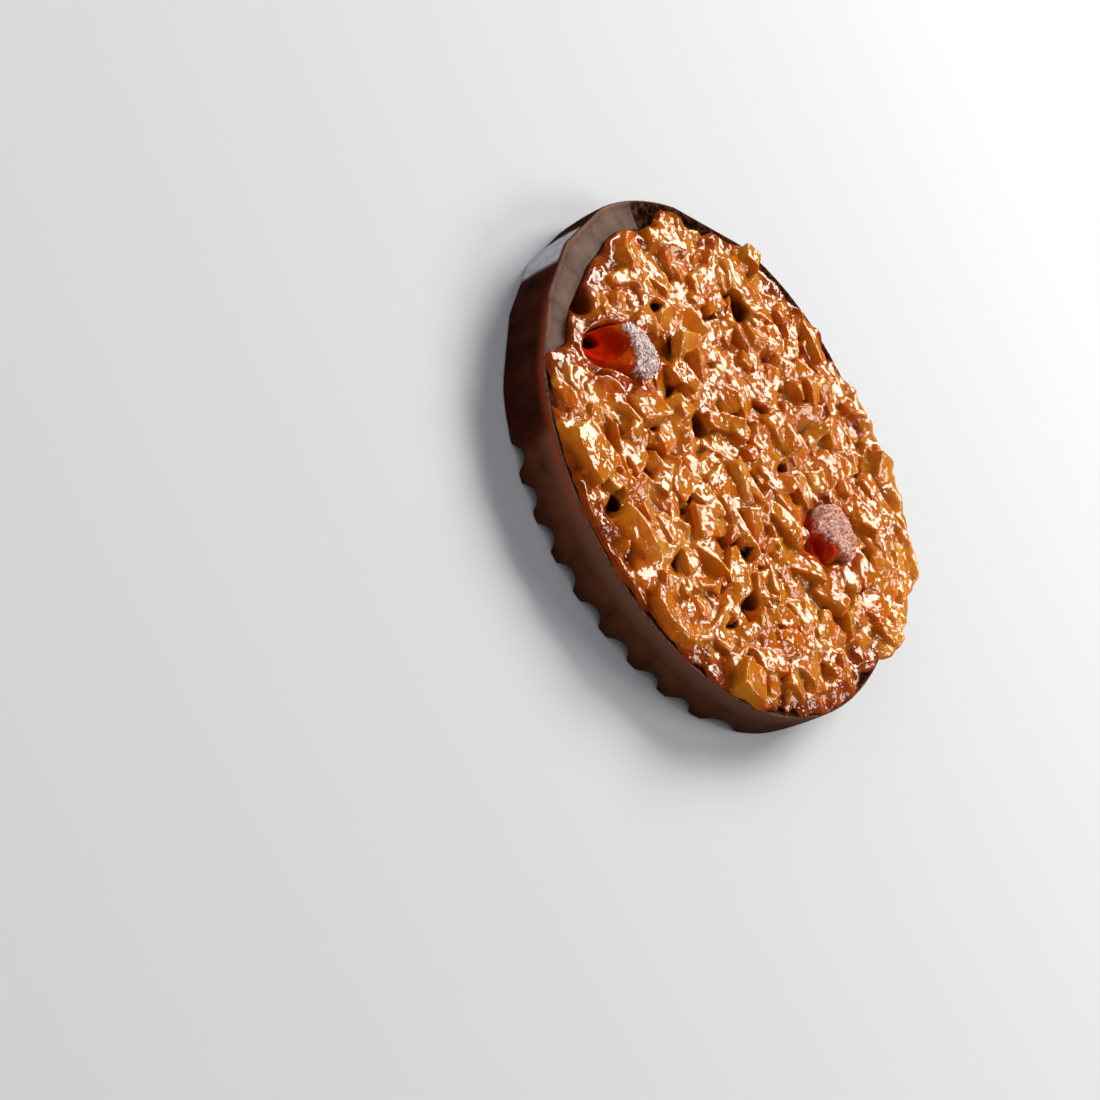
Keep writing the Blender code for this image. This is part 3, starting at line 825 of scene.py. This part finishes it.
def build_chips(chips, field, kind, name, subdivisions):
    """All bare chips of one kind as one piece."""
    directions, triangles = ball_mesh(subdivisions)
    bare = [chip for chip in chips if chip.kind == kind and chip.bare]
    points = np.concatenate([chip.surface(directions) for chip in bare])
    faces = [triangles + len(directions) * count for count in range(len(bare))]
    numbers = {
        "tone": np.repeat([chip.tone for chip in bare], len(directions)),
        "rise": field.rise(points),
        "overhang": overhang(points),
    }
    make_piece(name, points, np.concatenate(faces), numbers, [chip_material()])


# ---- Chocolate ----

def comb_height(x, y):
    """Height of the combed underside."""
    wave = COMB_WAVE * np.sin(2.0 * math.pi * y / COMB_WAVE_LENGTH + 2.6)
    across = (x - COMB_START - wave) / COMB_PITCH
    offset = np.abs(across - np.floor(across) - 0.5) * COMB_PITCH / (COMB_WIDTH / 2)
    return COMB_DEPTH * np.clip(1.0 - offset ** 2.2, 0.0, 1.0)


def comb_rows(angle, foot, notched):
    """Radius and height of each row of points on the underside, from its middle outwards."""
    for share in np.linspace(0.012, 1.0, COMB_ROWS):
        radius = (foot - FOOT_ROUND) * share
        near_wall = smoothstep((radius - foot + COMB_END) / COMB_FADE)
        comb = comb_height(radius * np.cos(angle), radius * np.sin(angle))
        yield radius, comb * (1.0 - near_wall * (1.0 - notched))


def wall_rows(angle, foot, outer, notched):
    """The same for the wall, from its rounded foot up to the rim's rounding."""
    edge = comb_height(foot * np.cos(angle), foot * np.sin(angle)) * notched
    for turn in np.linspace(0.2, 1.0, 5) * math.pi / 2:
        yield foot - FOOT_ROUND * (1.0 - math.sin(turn)), edge + FOOT_ROUND * (1.0 - math.cos(turn))
    for share in np.linspace(0.06, 1.0, 14):
        bulge = WALL_BULGE * math.sin(math.pi * share)
        height = edge + FOOT_ROUND + (RIM_HEIGHT - RIM_ROUND - edge - FOOT_ROUND) * share
        yield foot + (outer - foot) * share + bulge, height


def lip_rows(inner, outer):
    """The same for the rounded rim, the lip or ledge, and the inner wall down to the floor."""
    for turn in np.linspace(0.2, 1.0, 5) * math.pi / 2:
        yield outer - RIM_ROUND * (1.0 - math.cos(turn)), RIM_HEIGHT - RIM_ROUND * (1.0 - math.sin(turn))
    width = outer - RIM_ROUND - inner - RIM_ROUND
    hollow = LIP_HOLLOW * smoothstep((outer - inner - HOLLOW_START) / HOLLOW_FADE)
    for share in np.linspace(0.1, 1.0, 12):
        dip = hollow * np.sin(math.pi * share) ** 0.6 + LIP_FALL * share
        yield outer - RIM_ROUND - width * share, RIM_HEIGHT - dip
    for turn in np.linspace(0.25, 1.0, 4) * math.pi / 2:
        drop = LIP_FALL + RIM_ROUND * (1.0 - math.cos(turn))
        yield inner + RIM_ROUND * (1.0 - math.sin(turn)), RIM_HEIGHT - drop
    yield inner - FLOOR_INSET, FLOOR_TOP


def build_chocolate():
    """The dish: combed underside, wall, rounded rim, lip and ledges, inner wall and floor."""
    angle = math.tau * np.arange(SECTIONS) / SECTIONS
    outer = rim_radius(angle)
    inner = dish_radius(angle)
    foot = outer - FOOT_INSET
    notched = smoothstep((foot * np.cos(angle) - NOTCH_START) / NOTCH_FADE)
    below = [*comb_rows(angle, foot, notched), *wall_rows(angle, foot, outer, notched)]
    above = [*lip_rows(inner, outer)]
    points = [np.stack((radius * np.cos(angle), radius * np.sin(angle), height + 0.0 * angle), axis=1)
              for radius, height in below + above]
    points = np.concatenate((*points, [[0.0, 0.0, comb_height(0.0, 0.0)], [0.0, 0.0, FLOOR_TOP]]))
    here = np.arange(SECTIONS)
    after = (here + 1) % SECTIONS
    bottom = len(points) - 2
    last = bottom - SECTIONS
    faces = []
    for low in range(0, last, SECTIONS):
        high = low + SECTIONS
        faces.append(np.stack((low + here, low + after, high + after), axis=1))
        faces.append(np.stack((low + here, high + after, high + here), axis=1))
    faces.append(np.stack((after, here, np.full(SECTIONS, bottom)), axis=1))
    faces.append(np.stack((last + here, last + after, np.full(SECTIONS, bottom + 1)), axis=1))
    faces = np.concatenate(faces)
    which = np.zeros(len(faces), dtype=int)
    first = 2 * SECTIONS * len(below)
    which[first:-2 * SECTIONS] = np.tile(np.where(wide_side(angle) > 0.01, 1, 2), 2 * (len(above) - 1))
    make_piece("chocolate", points, faces, chocolate_numbers(points),
               [chocolate_wall_material(), chocolate_lip_material(), chocolate_ledge_material()], which,
               ["chocolate_base"])


def wide_side(angle):
    """1 in the directions where the lip is wide and has a painted sheen."""
    return smoothstep((WIDE_HALF - away_from(angle, WIDE_MIDDLE)) / WIDE_FADE)


def chocolate_numbers(points):
    """Where the rim is worn; painted sheen on the lip, painted shade, glowing light and reflection on the
    wall.
    """
    angle = np.arctan2(points[:, 1], points[:, 0])
    below_rim = RIM_HEIGHT - points[:, 2]
    from_rim = rim_radius(angle) - np.hypot(points[:, 0], points[:, 1])
    on_wall = smoothstep(1.0 - (from_rim - WALL_DEPTH) / WALL_FADE)
    # Painted shade on the wall's side, with a wavy border along X
    across = (points[:, 0] - SHADED_SIDE_END) / SHADED_SIDE_FADE + 0.25 * np.sin(below_rim / SHADED_SIDE_WAVE)
    # Painted light: a red glow painted near the top of the wall
    near_glow = 1.6 - 1.6 * np.abs(points[:, 0] - GLOW_MIDDLE) / GLOW_HALF
    # Painted reflection on one flat of the wall, below the rim
    flat = smoothstep((1.0 - away_from(angle, GLARE_MIDDLE) / GLARE_HALF) / 0.25) * on_wall
    return {
        "low": below_rim / RIM_HEIGHT,
        "painted_sheen": wide_side(angle),
        "edge": smoothstep(1.3 - below_rim / WEAR_DEPTH) * smoothstep(1.4 - from_rim / WEAR_WIDTH),
        "painted_shade": (1.0 - smoothstep(across)) * on_wall,
        "painted_glow": smoothstep(1.0 - below_rim / GLOW_DEPTH) * smoothstep(near_glow),
        "painted_glare": flat * smoothstep((below_rim - GLARE_TOP) / GLARE_FADE),
    }


def build_crumbs():
    """Small bits of chocolate along the ledges."""
    rng = np.random.default_rng(CRUMB_SEED)
    directions, triangles = ball_mesh(2)
    points = []
    faces = []
    for start, end, count in CRUMB_ARCS:
        for angle in np.radians(rng.uniform(start, end, count)):
            size = rng.uniform(*CRUMB_SIZES) * MM
            inner = max(dish_radius(angle), bed_radius(angle)) + INNER_MARGIN
            outer = rim_radius(angle) - OUTER_MARGIN - size
            radius = inner + (outer - inner) * rng.uniform(0.0, 1.0)
            lumps = 1.0 + 0.25 * np.sin(3.0 * directions @ rng.normal(size=3) + rng.uniform(0.0, math.tau))
            shape = np.array((1.0, rng.uniform(0.6, 1.0), rng.uniform(0.5, 0.8)))
            place = np.array((radius * math.cos(angle), radius * math.sin(angle), RIM_HEIGHT + 0.1 * size))
            turn = np.array(Euler((0.0, 0.0, rng.uniform(0.0, math.tau))).to_matrix())
            faces.append(triangles + len(directions) * len(points))
            points.append((directions * lumps[:, None] * shape * size) @ turn.T + place)
    points = np.concatenate(points)
    make_piece("chocolate_crumbs", points, np.concatenate(faces), {"edge": np.zeros(len(points))},
               [chocolate_ledge_material()])


# ---- Cherries ----

def wrinkles(seed, x, y, z):
    """Wrinkled relief of a cherry's skin."""
    relief = np.sin(3.1 * x + seed) * np.sin(4.3 * y + 2.0 * seed)
    relief += 0.6 * np.sin(7.0 * z + 5.0 * x + seed)
    relief += 0.3 * np.sin(15.0 * x + 9.0 * y + seed) * np.sin(13.0 * y - 8.0 * z)
    return relief


def cup_and_hole(cherry, x, y):
    """1 in the cup of a cherry and in its stone hole, seen from above."""
    from_cup = np.hypot((x - cherry.cup[0]) / cherry.cup_reach[0], (y - cherry.cup[1]) / cherry.cup_reach[1])
    hole = np.zeros(len(x))
    if cherry.hole_size:
        from_hole = np.hypot(1.3 * (x - cherry.hole[0]), y - cherry.hole[1])
        hole = smoothstep((1.25 - from_hole / cherry.hole_size) / 0.6)
    return smoothstep(1.5 * (1.0 - from_cup)), hole


def sugared_and_red(cherry, x, y):
    """1 on the sugared side of a cherry, and on the red side that falls away from it."""
    facing = cherry.facing - cherry.yaw
    across = x * math.cos(facing) + y * math.sin(facing)
    along = y * math.cos(facing) - x * math.sin(facing)
    edge = 0.05 * np.sin(9.0 * along + cherry.seed) + 0.03 * np.sin(23.0 * along)
    return smoothstep((across - cherry.start - edge) / 0.14), smoothstep((cherry.start - across) / 0.5)


def build_cherry(name):
    """A candied cherry half: a wrinkled ball with a flat sugared side and a cup on its near side."""
    cherry = CHERRIES[name]
    middle, half, turn = CHERRY_SIZES[name]
    directions, triangles = ball_mesh(6)
    x, y, z = directions.T
    upper = smoothstep(z / 0.12)
    cup, hole = (share * upper for share in cup_and_hole(cherry, x, y))
    sugared, red_side = sugared_and_red(cherry, x, y)
    buried = buried_share(name, x, y) * (1.0 - sugared)
    # The ball is smaller by what its wrinkles and the sugared side add, and flatter above and below
    local = directions * (half - np.array((1.6, 1.6, 2.4 + SUGAR_RISE / CHERRY_WOBBLE)) * CHERRY_WOBBLE)
    local[:, 2] *= np.maximum(np.abs(z), 0.02) ** -0.5
    local += directions * (CHERRY_WOBBLE * wrinkles(cherry.seed, x, y, z))[:, None]
    local[:, 2] += upper * (1.0 - cup) * (SUGAR_RISE * sugared - RED_DROP * red_side - BURIED_DROP * buried)
    local[:, 2] = np.where(upper > 0.0, local[:, 2] * (1.0 - cup) - cherry.cup_floor * cup, local[:, 2])
    local[:, 2] -= HOLE_DROP * hole * smoothstep(z / 0.25) + BELLY * smoothstep(-z / 0.12)
    points = local @ turn.T + middle
    frost = sugared * upper * (1.0 - cup)
    numbers = {"frost": frost, "cup": cup, "hole": hole, "syrup": np.full(len(x), cherry.syrup)}
    in_cup = np.maximum(cup, hole)[triangles].mean(1) > 0.12
    make_piece(name + "_flesh", points, triangles, numbers,
               [cherry_material(), cup_material()], in_cup, [name])
    build_sugar(name, points[triangles], frost[triangles].mean(1), cherry)


def build_sugar(name, corners_of, frost, cherry):
    """Fine sugar crystals on the frosted triangles of a cherry."""
    rng = np.random.default_rng(cherry.seed)
    sides_of = corners_of[:, 1:] - corners_of[:, :1]
    chance = frost ** 2 * np.linalg.norm(np.cross(sides_of[:, 0], sides_of[:, 1]), axis=1)
    picks = rng.choice(len(chance), cherry.crystals, p=chance / chance.sum())
    places = (rng.dirichlet((1.0, 1.0, 1.0), len(picks))[:, :, None] * corners_of[picks]).sum(1)
    corners = np.array([(a, b, c) for a in (-1, 1) for b in (-1, 1) for c in (-1, 1)], float)
    sides = np.array([(0, 1, 3, 2), (4, 6, 7, 5), (0, 4, 5, 1), (2, 3, 7, 6), (0, 2, 6, 4), (1, 5, 7, 3)])
    grains = []
    faces = []
    for count, place in enumerate(places):
        turn = np.array(Euler(rng.uniform(0.0, math.tau, 3)).to_matrix())
        size = rng.uniform(*CRYSTAL_SIZES) * MM * np.array((1.0, *rng.uniform(0.6, 1.0, 2)))
        grains.append((corners * size) @ turn.T + place + rng.normal(0.0, CRYSTAL_SCATTER, 3))
        faces.append(sides + 8 * count)
    syrup = {"syrup": np.full(8 * len(grains), cherry.syrup)}
    piece = make_piece(name + "_sugar", np.concatenate(grains), np.concatenate(faces), syrup,
                       [sugar_material()])
    piece.data.shade_flat()


# ---- Materials: each is made once, and shared where several pieces have it ----

# Caramel mirrors the lights only in its clear coat
GLAZE = {"Specular_IOR_Level": 0.0, "Coat_Weight": 1.0, "Coat_Roughness": 0.02, "Coat_IOR": 1.5}


class Shader:
    """A Principled material with a short way to add and link nodes."""

    def __init__(self, name, **sockets):
        self.material = bpy.data.materials.new(name)
        self.material.use_nodes = True
        self.tree = self.material.node_tree
        self.shader = self.tree.nodes["Principled BSDF"]
        for key, value in sockets.items():
            self.shader.inputs[key.replace("_", " ")].default_value = value

    def node(self, kind, inputs=None, **settings):
        """A new node with its settings; inputs are values or other nodes' outputs."""
        made = self.tree.nodes.new("ShaderNode" + kind)
        for key, value in settings.items():
            setattr(made, key, value)
        for key, value in (inputs or {}).items():
            if isinstance(value, bpy.types.NodeSocket):
                self.tree.links.new(value, made.inputs[key])
            else:
                made.inputs[key].default_value = value
        return made

    def finished(self, colour, relief, coat_relief=None):
        """The material, with its colour and the relief of its surface and of its coat."""
        for key, output in (("Base Color", colour), ("Normal", relief), ("Coat Normal", coat_relief)):
            if output:
                self.tree.links.new(output, self.shader.inputs[key])
        return self.material

    def place(self):
        """Coordinates on the object, in millimetres."""
        coordinates = self.node("TexCoord").outputs["Object"]
        scaled = self.node("VectorMath", {0: coordinates}, operation="SCALE")
        scaled.inputs["Scale"].default_value = 1000.0
        return scaled.outputs["Vector"]

    def noise(self, scale, detail=2.0, rough=0.5, distortion=0.0, where=None):
        """Noise with features of about 1/scale mm."""
        made = self.node("TexNoise", {"Vector": where or self.place(), "Scale": scale, "Detail": detail,
                                      "Roughness": rough, "Distortion": distortion})
        return made.outputs["Fac"]

    def number(self, key, *ranges):
        """A number kept on the mesh's points, spread from one range to another where they are given."""
        value = self.node("Attribute", attribute_name=key).outputs["Fac"]
        return self.spread(value, *ranges) if ranges else value

    def math(self, operation, first, second=0.0):
        """One of Blender's operations on two values."""
        return self.node("Math", {0: first, 1: second}, operation=operation).outputs["Value"]

    def spread(self, value, low, high, start=0.0, end=1.0):
        """A value mapped from one range to another, clamped, with a smooth rise."""
        made = self.node("MapRange", {"Value": value, "From Min": low, "From Max": high, "To Min": start,
                                      "To Max": end}, interpolation_type="SMOOTHSTEP")
        return made.outputs["Result"]

    def ramp(self, value, *stops):
        """A colour ramp of (position, colour) stops."""
        made = self.node("ValToRGB", {"Fac": value})
        elements = made.color_ramp.elements
        while len(elements) < len(stops):
            elements.new(0.5)
        for element, (position, colour) in zip(elements, stops):
            element.position = position
            element.color = (*colour, 1.0)
        return made.outputs["Color"]

    def mix(self, share, first, second):
        """The first colour, blended into the second by a share."""
        made = self.node("Mix", data_type="RGBA")
        for index, value in ((0, share), (6, first), (7, second)):
            if isinstance(value, bpy.types.NodeSocket):
                self.tree.links.new(value, made.inputs[index])
            else:
                made.inputs[index].default_value = value if index == 0 else (*value, 1.0)
        return made.outputs[2]

    def bump(self, height, distance, before=None):
        """Relief from heights of 0 to 1 over a distance, on top of other relief."""
        inputs = {"Height": height, "Distance": distance, "Strength": 1.0}
        if before:
            inputs["Normal"] = before
        return self.node("Bump", inputs).outputs["Normal"]

    def rim_wear(self):
        """How worn the chocolate is along its rim, in patches."""
        patches = self.spread(self.noise(1.6, 3.0), 0.30, 0.60, 0.35, 1.0)
        return self.math("MULTIPLY", self.number("edge"), patches)

    def crumbly(self):
        """Colour of dark chocolate with paler grains."""
        return self.ramp(self.noise(1.0, 4.0, 0.6), (0.3, (0.020, 0.0056, 0.0030)),
                         (0.5, (0.045, 0.0150, 0.0085)), (0.72, (0.150, 0.072, 0.050)))

    def amber(self, value, places, reddish, golden):
        """Colour of caramel from ramps over the same places: golden in patches, reddish between them."""
        colours = [self.ramp(value, *zip(places, stops)) for stops in (reddish, golden)]
        return self.mix(self.spread(self.noise(0.22, 2.0, 0.5), 0.40, 0.60), *colours)

    def facets(self, place, scale, distance, before=None):
        """Small flat facets at random tilts."""
        cells = self.node("TexVoronoi", {"Vector": place, "Scale": scale})
        tilt = self.node("VectorMath", {0: cells.outputs["Color"], 1: (0.5, 0.5, 0.5)}, operation="SUBTRACT")
        offset = self.node("VectorMath", {0: place, 1: cells.outputs["Position"]}, operation="SUBTRACT")
        heights = self.node("VectorMath", {0: tilt.outputs["Vector"], 1: offset.outputs["Vector"]},
                            operation="DOT_PRODUCT")
        return self.bump(heights.outputs["Value"], distance, before=before)

    def crinkle(self):
        """The set skin of glossy caramel: large and small facets over slow ripples."""
        place = self.place()
        broad = self.facets(place, 0.65, 0.36 * MM)
        fine = self.facets(place, 1.9, 0.20 * MM, broad)
        return self.bump(self.noise(0.45, 0.0, 0.5, 0.0, place), 0.12 * MM, before=fine)


@cache
def caramel_material():
    """Amber caramel: bright over the chips, red-brown where it has pooled, with painted shade and light,
    yellow where it laps over.
    """
    s = Shader("caramel", Roughness=0.45, Subsurface_Weight=0.6, Subsurface_Scale=0.6 * MM,
               Subsurface_Radius=(1.6, 0.45, 0.08), **GLAZE)
    film = s.number("film", -0.1, 1.2)
    mottle = s.spread(s.noise(0.5, 4.0, 0.6), 0.3, 0.7, -0.16, 0.16)
    tone = s.number("tone", 0.0, 1.0, 0.18, -0.18)
    depth = s.math("ADD", s.math("ADD", film, mottle), tone)
    reddish = ((0.66, 0.152, 0.005), (0.54, 0.112, 0.003), (0.40, 0.070, 0.001), (0.27, 0.038, 0.001))
    golden = ((0.67, 0.220, 0.014), (0.56, 0.150, 0.008), (0.41, 0.080, 0.003), (0.26, 0.037, 0.002))
    colour = s.amber(depth, (0.0, 0.3, 0.65, 1.0), reddish, golden)
    # Darker in low places: deeper pooled caramel, and partly painted shade
    sunk_and_shaded = s.number("rise", -1.5, 0.05)
    colour = s.mix(sunk_and_shaded, (0.070, 0.0068, 0.0015), colour)
    # Paler, yellower tops: partly thinner caramel, partly painted light where the key light falls on them
    colour = s.mix(s.number("rise", 0.3, 1.5, 0.0, 0.6), colour, (0.68, 0.245, 0.010))
    # Yellow where it laps over the rim: thin caramel, brightened with painted light shining through it
    colour = s.mix(s.number("overhang", -3.0, 0.6, 0.0, 0.75), colour, (0.92, 0.33, 0.030))
    red = s.math("MULTIPLY", s.number("stain"), s.spread(s.noise(0.8, 3.0, 0.6), 0.35, 0.6, 0.35, 0.95))
    colour = s.mix(red, colour, (0.34, 0.030, 0.002))
    # Painted shade: nearly black inside the bubble holes
    colour = s.mix(s.number("pit_shade"), colour, (0.035, 0.0045, 0.0008))
    return s.finished(colour, s.bump(s.noise(0.6, 2.0, 0.5), 0.10 * MM), s.crinkle())


@cache
def chip_material():
    """Roasted almond under a thin coat of caramel."""
    s = Shader("almond_chip", Roughness=0.45, Subsurface_Weight=0.5, Subsurface_Scale=0.6 * MM,
               Subsurface_Radius=(1.6, 0.6, 0.12), **GLAZE)
    mottle = s.spread(s.noise(0.6, 4.0, 0.6), 0.3, 0.7, -0.22, 0.22)
    shade = s.math("ADD", s.number("tone"), mottle)
    reddish = ((0.54, 0.098, 0.003), (0.62, 0.128, 0.004), (0.67, 0.165, 0.007), (0.71, 0.225, 0.018))
    golden = ((0.56, 0.118, 0.006), (0.64, 0.162, 0.010), (0.69, 0.222, 0.016), (0.72, 0.285, 0.032))
    colour = s.amber(shade, (0.0, 0.5, 0.85, 1.0), reddish, golden)
    # Darker where the chip lies low: painted shade
    sunk_and_shaded = s.number("rise", -1.8, 0.2)
    colour = s.mix(sunk_and_shaded, (0.12, 0.015, 0.002), colour)
    # Yellow where the chip laps over the rim: brightened with painted light shining through it
    colour = s.mix(s.number("overhang", -0.3, 1.4, 0.0, 0.6), colour, (0.80, 0.36, 0.020))
    return s.finished(colour, s.bump(s.noise(1.3, 3.0, 0.55, 0.8), 0.08 * MM), s.crinkle())


@cache
def chocolate_wall_material():
    """Matte dark chocolate of the outer wall and underside, painted nearly black and redder on its shaded
    side.
    """
    s = Shader("chocolate_wall", Roughness=0.55, Specular_IOR_Level=0.10)
    mottle = s.noise(0.35, 5.0, 0.6)
    colour = s.ramp(mottle, (0.3, (0.060, 0.0165, 0.0060)), (0.7, (0.125, 0.0380, 0.0140)))
    # Painted shade: nearly black, redder colour for the shaded side of the wall
    painted_shade = s.ramp(mottle, (0.3, (0.018, 0.0027, 0.0010)), (0.7, (0.070, 0.0105, 0.0036)))
    # Lighter near the rim and darker towards the foot
    rim_to_foot = s.mix(s.number("low", 0.05, 0.45), (0.165, 0.068, 0.042), colour)
    rim_to_foot = s.mix(s.number("low", 0.5, 1.0, 0.0, 0.65), rim_to_foot, (0.022, 0.0060, 0.0024))
    colour = s.mix(s.number("painted_shade"), rim_to_foot, painted_shade)
    # Painted light: a red glow painted into the top of the wall
    colour = s.mix(s.math("MULTIPLY", s.number("painted_glow"), 0.9), colour, (0.32, 0.045, 0.008))
    # Painted reflection: a grey glare painted into the colour of one flat, stronger where it is seen aslant
    aslant = s.spread(s.node("LayerWeight").outputs["Facing"], 0.42, 0.66)
    streaky = s.spread(s.noise(0.5, 3.0), 0.35, 0.60, 0.75, 1.0)
    painted_glare = s.math("MULTIPLY", s.math("MULTIPLY", s.number("painted_glare"), streaky), aslant)
    colour = s.mix(painted_glare, colour, (0.58, 0.58, 0.64))
    colour = s.mix(s.rim_wear(), colour, (0.30, 0.13, 0.09))
    swirl = s.bump(s.noise(0.3, 3.0, 0.5), 0.15 * MM)
    return s.finished(colour, s.bump(s.noise(4.0, 3.0, 0.6), 0.010 * MM, before=swirl))


@cache
def chocolate_lip_material():
    """Satin chocolate of the wide side of the lip, with a greyish brown painted sheen, worn pale at the rim.
    """
    s = Shader("chocolate_lip", Roughness=0.45, Specular_IOR_Level=0.05)
    mottle = s.noise(0.3, 4.0, 0.6)
    # Painted sheen: greyish brown where the lip is wide, dark crumbly chocolate where it narrows
    colour = s.ramp(mottle, (0.32, (0.062, 0.023, 0.016)), (0.66, (0.185, 0.089, 0.069)))
    colour = s.mix(s.number("painted_sheen"), s.crumbly(), colour)
    colour = s.mix(s.rim_wear(), colour, (0.33, 0.15, 0.10))
    swirl = s.bump(s.noise(0.3, 2.0, 0.5), 0.20 * MM)
    return s.finished(colour, s.bump(s.noise(4.0, 3.0, 0.6), 0.008 * MM, before=swirl))


@cache
def chocolate_ledge_material():
    """Dark crumbly chocolate of the narrow ledges, worn pale at the rim."""
    s = Shader("chocolate_ledge", Roughness=0.6, Specular_IOR_Level=0.0)
    colour = s.mix(s.rim_wear(), s.crumbly(), (0.33, 0.15, 0.10))
    return s.finished(colour, s.bump(s.noise(1.6, 4.0, 0.6), 0.25 * MM))


@cache
def cherry_material():
    """Translucent candied cherry flesh."""
    s = Shader("cherry_flesh", Roughness=0.4, Subsurface_Weight=0.6, Subsurface_Scale=1.0 * MM,
               Subsurface_Radius=(2.0, 0.3, 0.08), Specular_IOR_Level=0.0,
               Coat_Weight=0.25, Coat_Roughness=0.08, Coat_IOR=1.45)
    colour = s.ramp(s.noise(0.35, 3.0), (0.35, (0.55, 0.020, 0.002)), (0.65, (0.62, 0.110, 0.004)))
    speckle = s.ramp(s.noise(2.2, 2.0, 0.6), (0.42, (0.34, 0.10, 0.11)), (0.54, (0.99, 0.86, 0.87)))
    along = s.node("Mapping", {"Vector": s.place(), "Rotation": (0.0, 0.0, -40.0 * DEG),
                               "Scale": (1.0, 0.25, 1.0)})
    streaks = s.ramp(s.noise(2.6, 2.0, 0.6, 0.0, along.outputs["Vector"]), (0.42, (0.34, 0.070, 0.036)),
                     (0.58, (0.86, 0.48, 0.34)))
    speckle = s.mix(s.number("syrup"), speckle, streaks)
    colour = s.mix(s.number("frost", 0.1, 0.8), colour, speckle)
    ripples = s.bump(s.noise(0.9, 2.0, 0.5), 0.12 * MM)
    grains = s.math("MULTIPLY", s.noise(3.0, 1.0), s.number("frost"))
    grainy = s.bump(grains, 0.25 * MM, before=ripples)
    return s.finished(colour, grainy, grainy)


@cache
def cup_material():
    """Deep red inside of the cherry's cup, with painted shade making its stone hole nearly black."""
    s = Shader("cherry_cup", Roughness=0.5, Subsurface_Weight=0.7, Subsurface_Scale=1.0 * MM,
               Subsurface_Radius=(2.0, 0.15, 0.05), Specular_IOR_Level=0.0)
    colour = s.ramp(s.noise(0.35, 3.0), (0.35, (0.36, 0.006, 0.001)), (0.65, (0.44, 0.016, 0.001)))
    colour = s.mix(s.number("cup", 0.0, 0.5), (0.46, 0.040, 0.002), colour)
    # Painted shade: the stone hole is painted nearly black
    colour = s.mix(s.number("hole"), colour, (0.008, 0.001, 0.001))
    return s.finished(colour, s.bump(s.noise(0.9, 2.0, 0.5), 0.10 * MM))


@cache
def sugar_material():
    """Sugar crystals, white with a violet cast from the cherry below, brownish where syrup soaks them."""
    s = Shader("sugar", Roughness=0.30, Subsurface_Weight=0.8, Subsurface_Scale=0.6 * MM,
               Subsurface_Radius=(1.0, 0.8, 0.8))
    colour = s.ramp(s.noise(1.8, 1.0), (0.40, (0.74, 0.52, 0.56)), (0.50, (0.99, 0.90, 0.90)))
    return s.finished(s.mix(s.number("syrup"), colour, (0.66, 0.28, 0.17)), None)


def floor_material():
    """Plain pale floor."""
    colour = (0.80, 0.85, 0.965, 1.0)
    return Shader("floor", Roughness=0.8, Base_Color=colour, Specular_IOR_Level=0.0).material


# ---- Studio ----

def build_floor():
    """A wide pale floor under the cookie."""
    data = bpy.data.meshes.new("floor")
    corners = [(-4.0, -4.0, 0.0), (4.0, -4.0, 0.0), (4.0, 4.0, 0.0), (-4.0, 4.0, 0.0)]
    data.from_pydata(corners, [], [(0, 1, 2, 3)])
    data.materials.append(floor_material())
    floor = bpy.data.objects.new("floor", data)
    bpy.context.scene.collection.objects.link(floor)
    floor.visible_glossy = False


def add_light(name, direction, distance, size, power, colour=(1.0, 1.0, 1.0), mirrored=True):
    """A square soft light that faces the cookie; one that isn't mirrored makes no highlights."""
    data = bpy.data.lights.new(name, "AREA")
    data.size = size
    data.energy = power
    data.color = colour
    lamp = bpy.data.objects.new(name, data)
    lamp.location = Vector(direction).normalized() * distance
    lamp.rotation_euler = (-lamp.location).to_track_quat("-Z", "Y").to_euler()
    lamp.visible_glossy = mirrored
    bpy.context.scene.collection.objects.link(lamp)


def build_studio():
    """Pale surroundings, a large key light behind the cookie and softer lights round it."""
    world = bpy.data.worlds.new("studio")
    world.use_nodes = True
    background = world.node_tree.nodes["Background"]
    background.inputs["Color"].default_value = (1.0, 1.0, 1.0, 1.0)
    background.inputs["Strength"].default_value = 0.05
    bpy.context.scene.world = world
    add_light("key", (-0.22, 0.95, 0.72), 0.8, 0.40, 6.6, (1.0, 0.95, 0.81))
    add_light("kicker", (0.60, 0.80, 0.75), 0.8, 0.30, 2.0, (1.0, 0.95, 0.84))
    add_light("fill", (-0.1, -1.0, 0.65), 0.9, 1.5, 4.2, (1.0, 0.94, 0.88), mirrored=False)
    add_light("side", (-1.0, -0.25, 0.35), 0.9, 0.8, 1.0, mirrored=False)
    bpy.context.scene.view_settings.view_transform = "Standard"


def build_camera():
    """The camera: it looks down on the cookie from its near side, with the picture turned."""
    data = bpy.data.cameras.new("camera")
    data.lens = LENS
    data.sensor_width = 36.0
    camera = bpy.data.objects.new("camera", data)
    bpy.context.scene.collection.objects.link(camera)
    forward = Vector((0.0, math.cos(VIEW_ELEVATION), -math.sin(VIEW_ELEVATION)))
    level_right = Vector((1.0, 0.0, 0.0))
    level_up = level_right.cross(forward)
    right = level_right * math.cos(PICTURE_TURN) + level_up * math.sin(PICTURE_TURN)
    up = level_up * math.cos(PICTURE_TURN) - level_right * math.sin(PICTURE_TURN)
    place = -forward * VIEW_DISTANCE
    aim = -right * AIM_LEFT - up * AIM_BELOW
    sight = (aim - place).normalized()
    side = sight.cross(up).normalized()
    turn = Matrix((side, side.cross(sight), -sight)).transposed()
    camera.matrix_world = Matrix.Translation(place) @ turn.to_4x4()
    bpy.context.scene.camera = camera


chips = scatter_chips()
field = Field(Grid(), chips)
build_caramel(field)
for chip_kind, chip_name, fineness in BARE_PIECES:
    build_chips(chips, field, chip_kind, chip_name, fineness)
build_chocolate()
build_crumbs()
for cherry_name in CHERRIES:
    build_cherry(cherry_name)
build_floor()
build_studio()
build_camera()
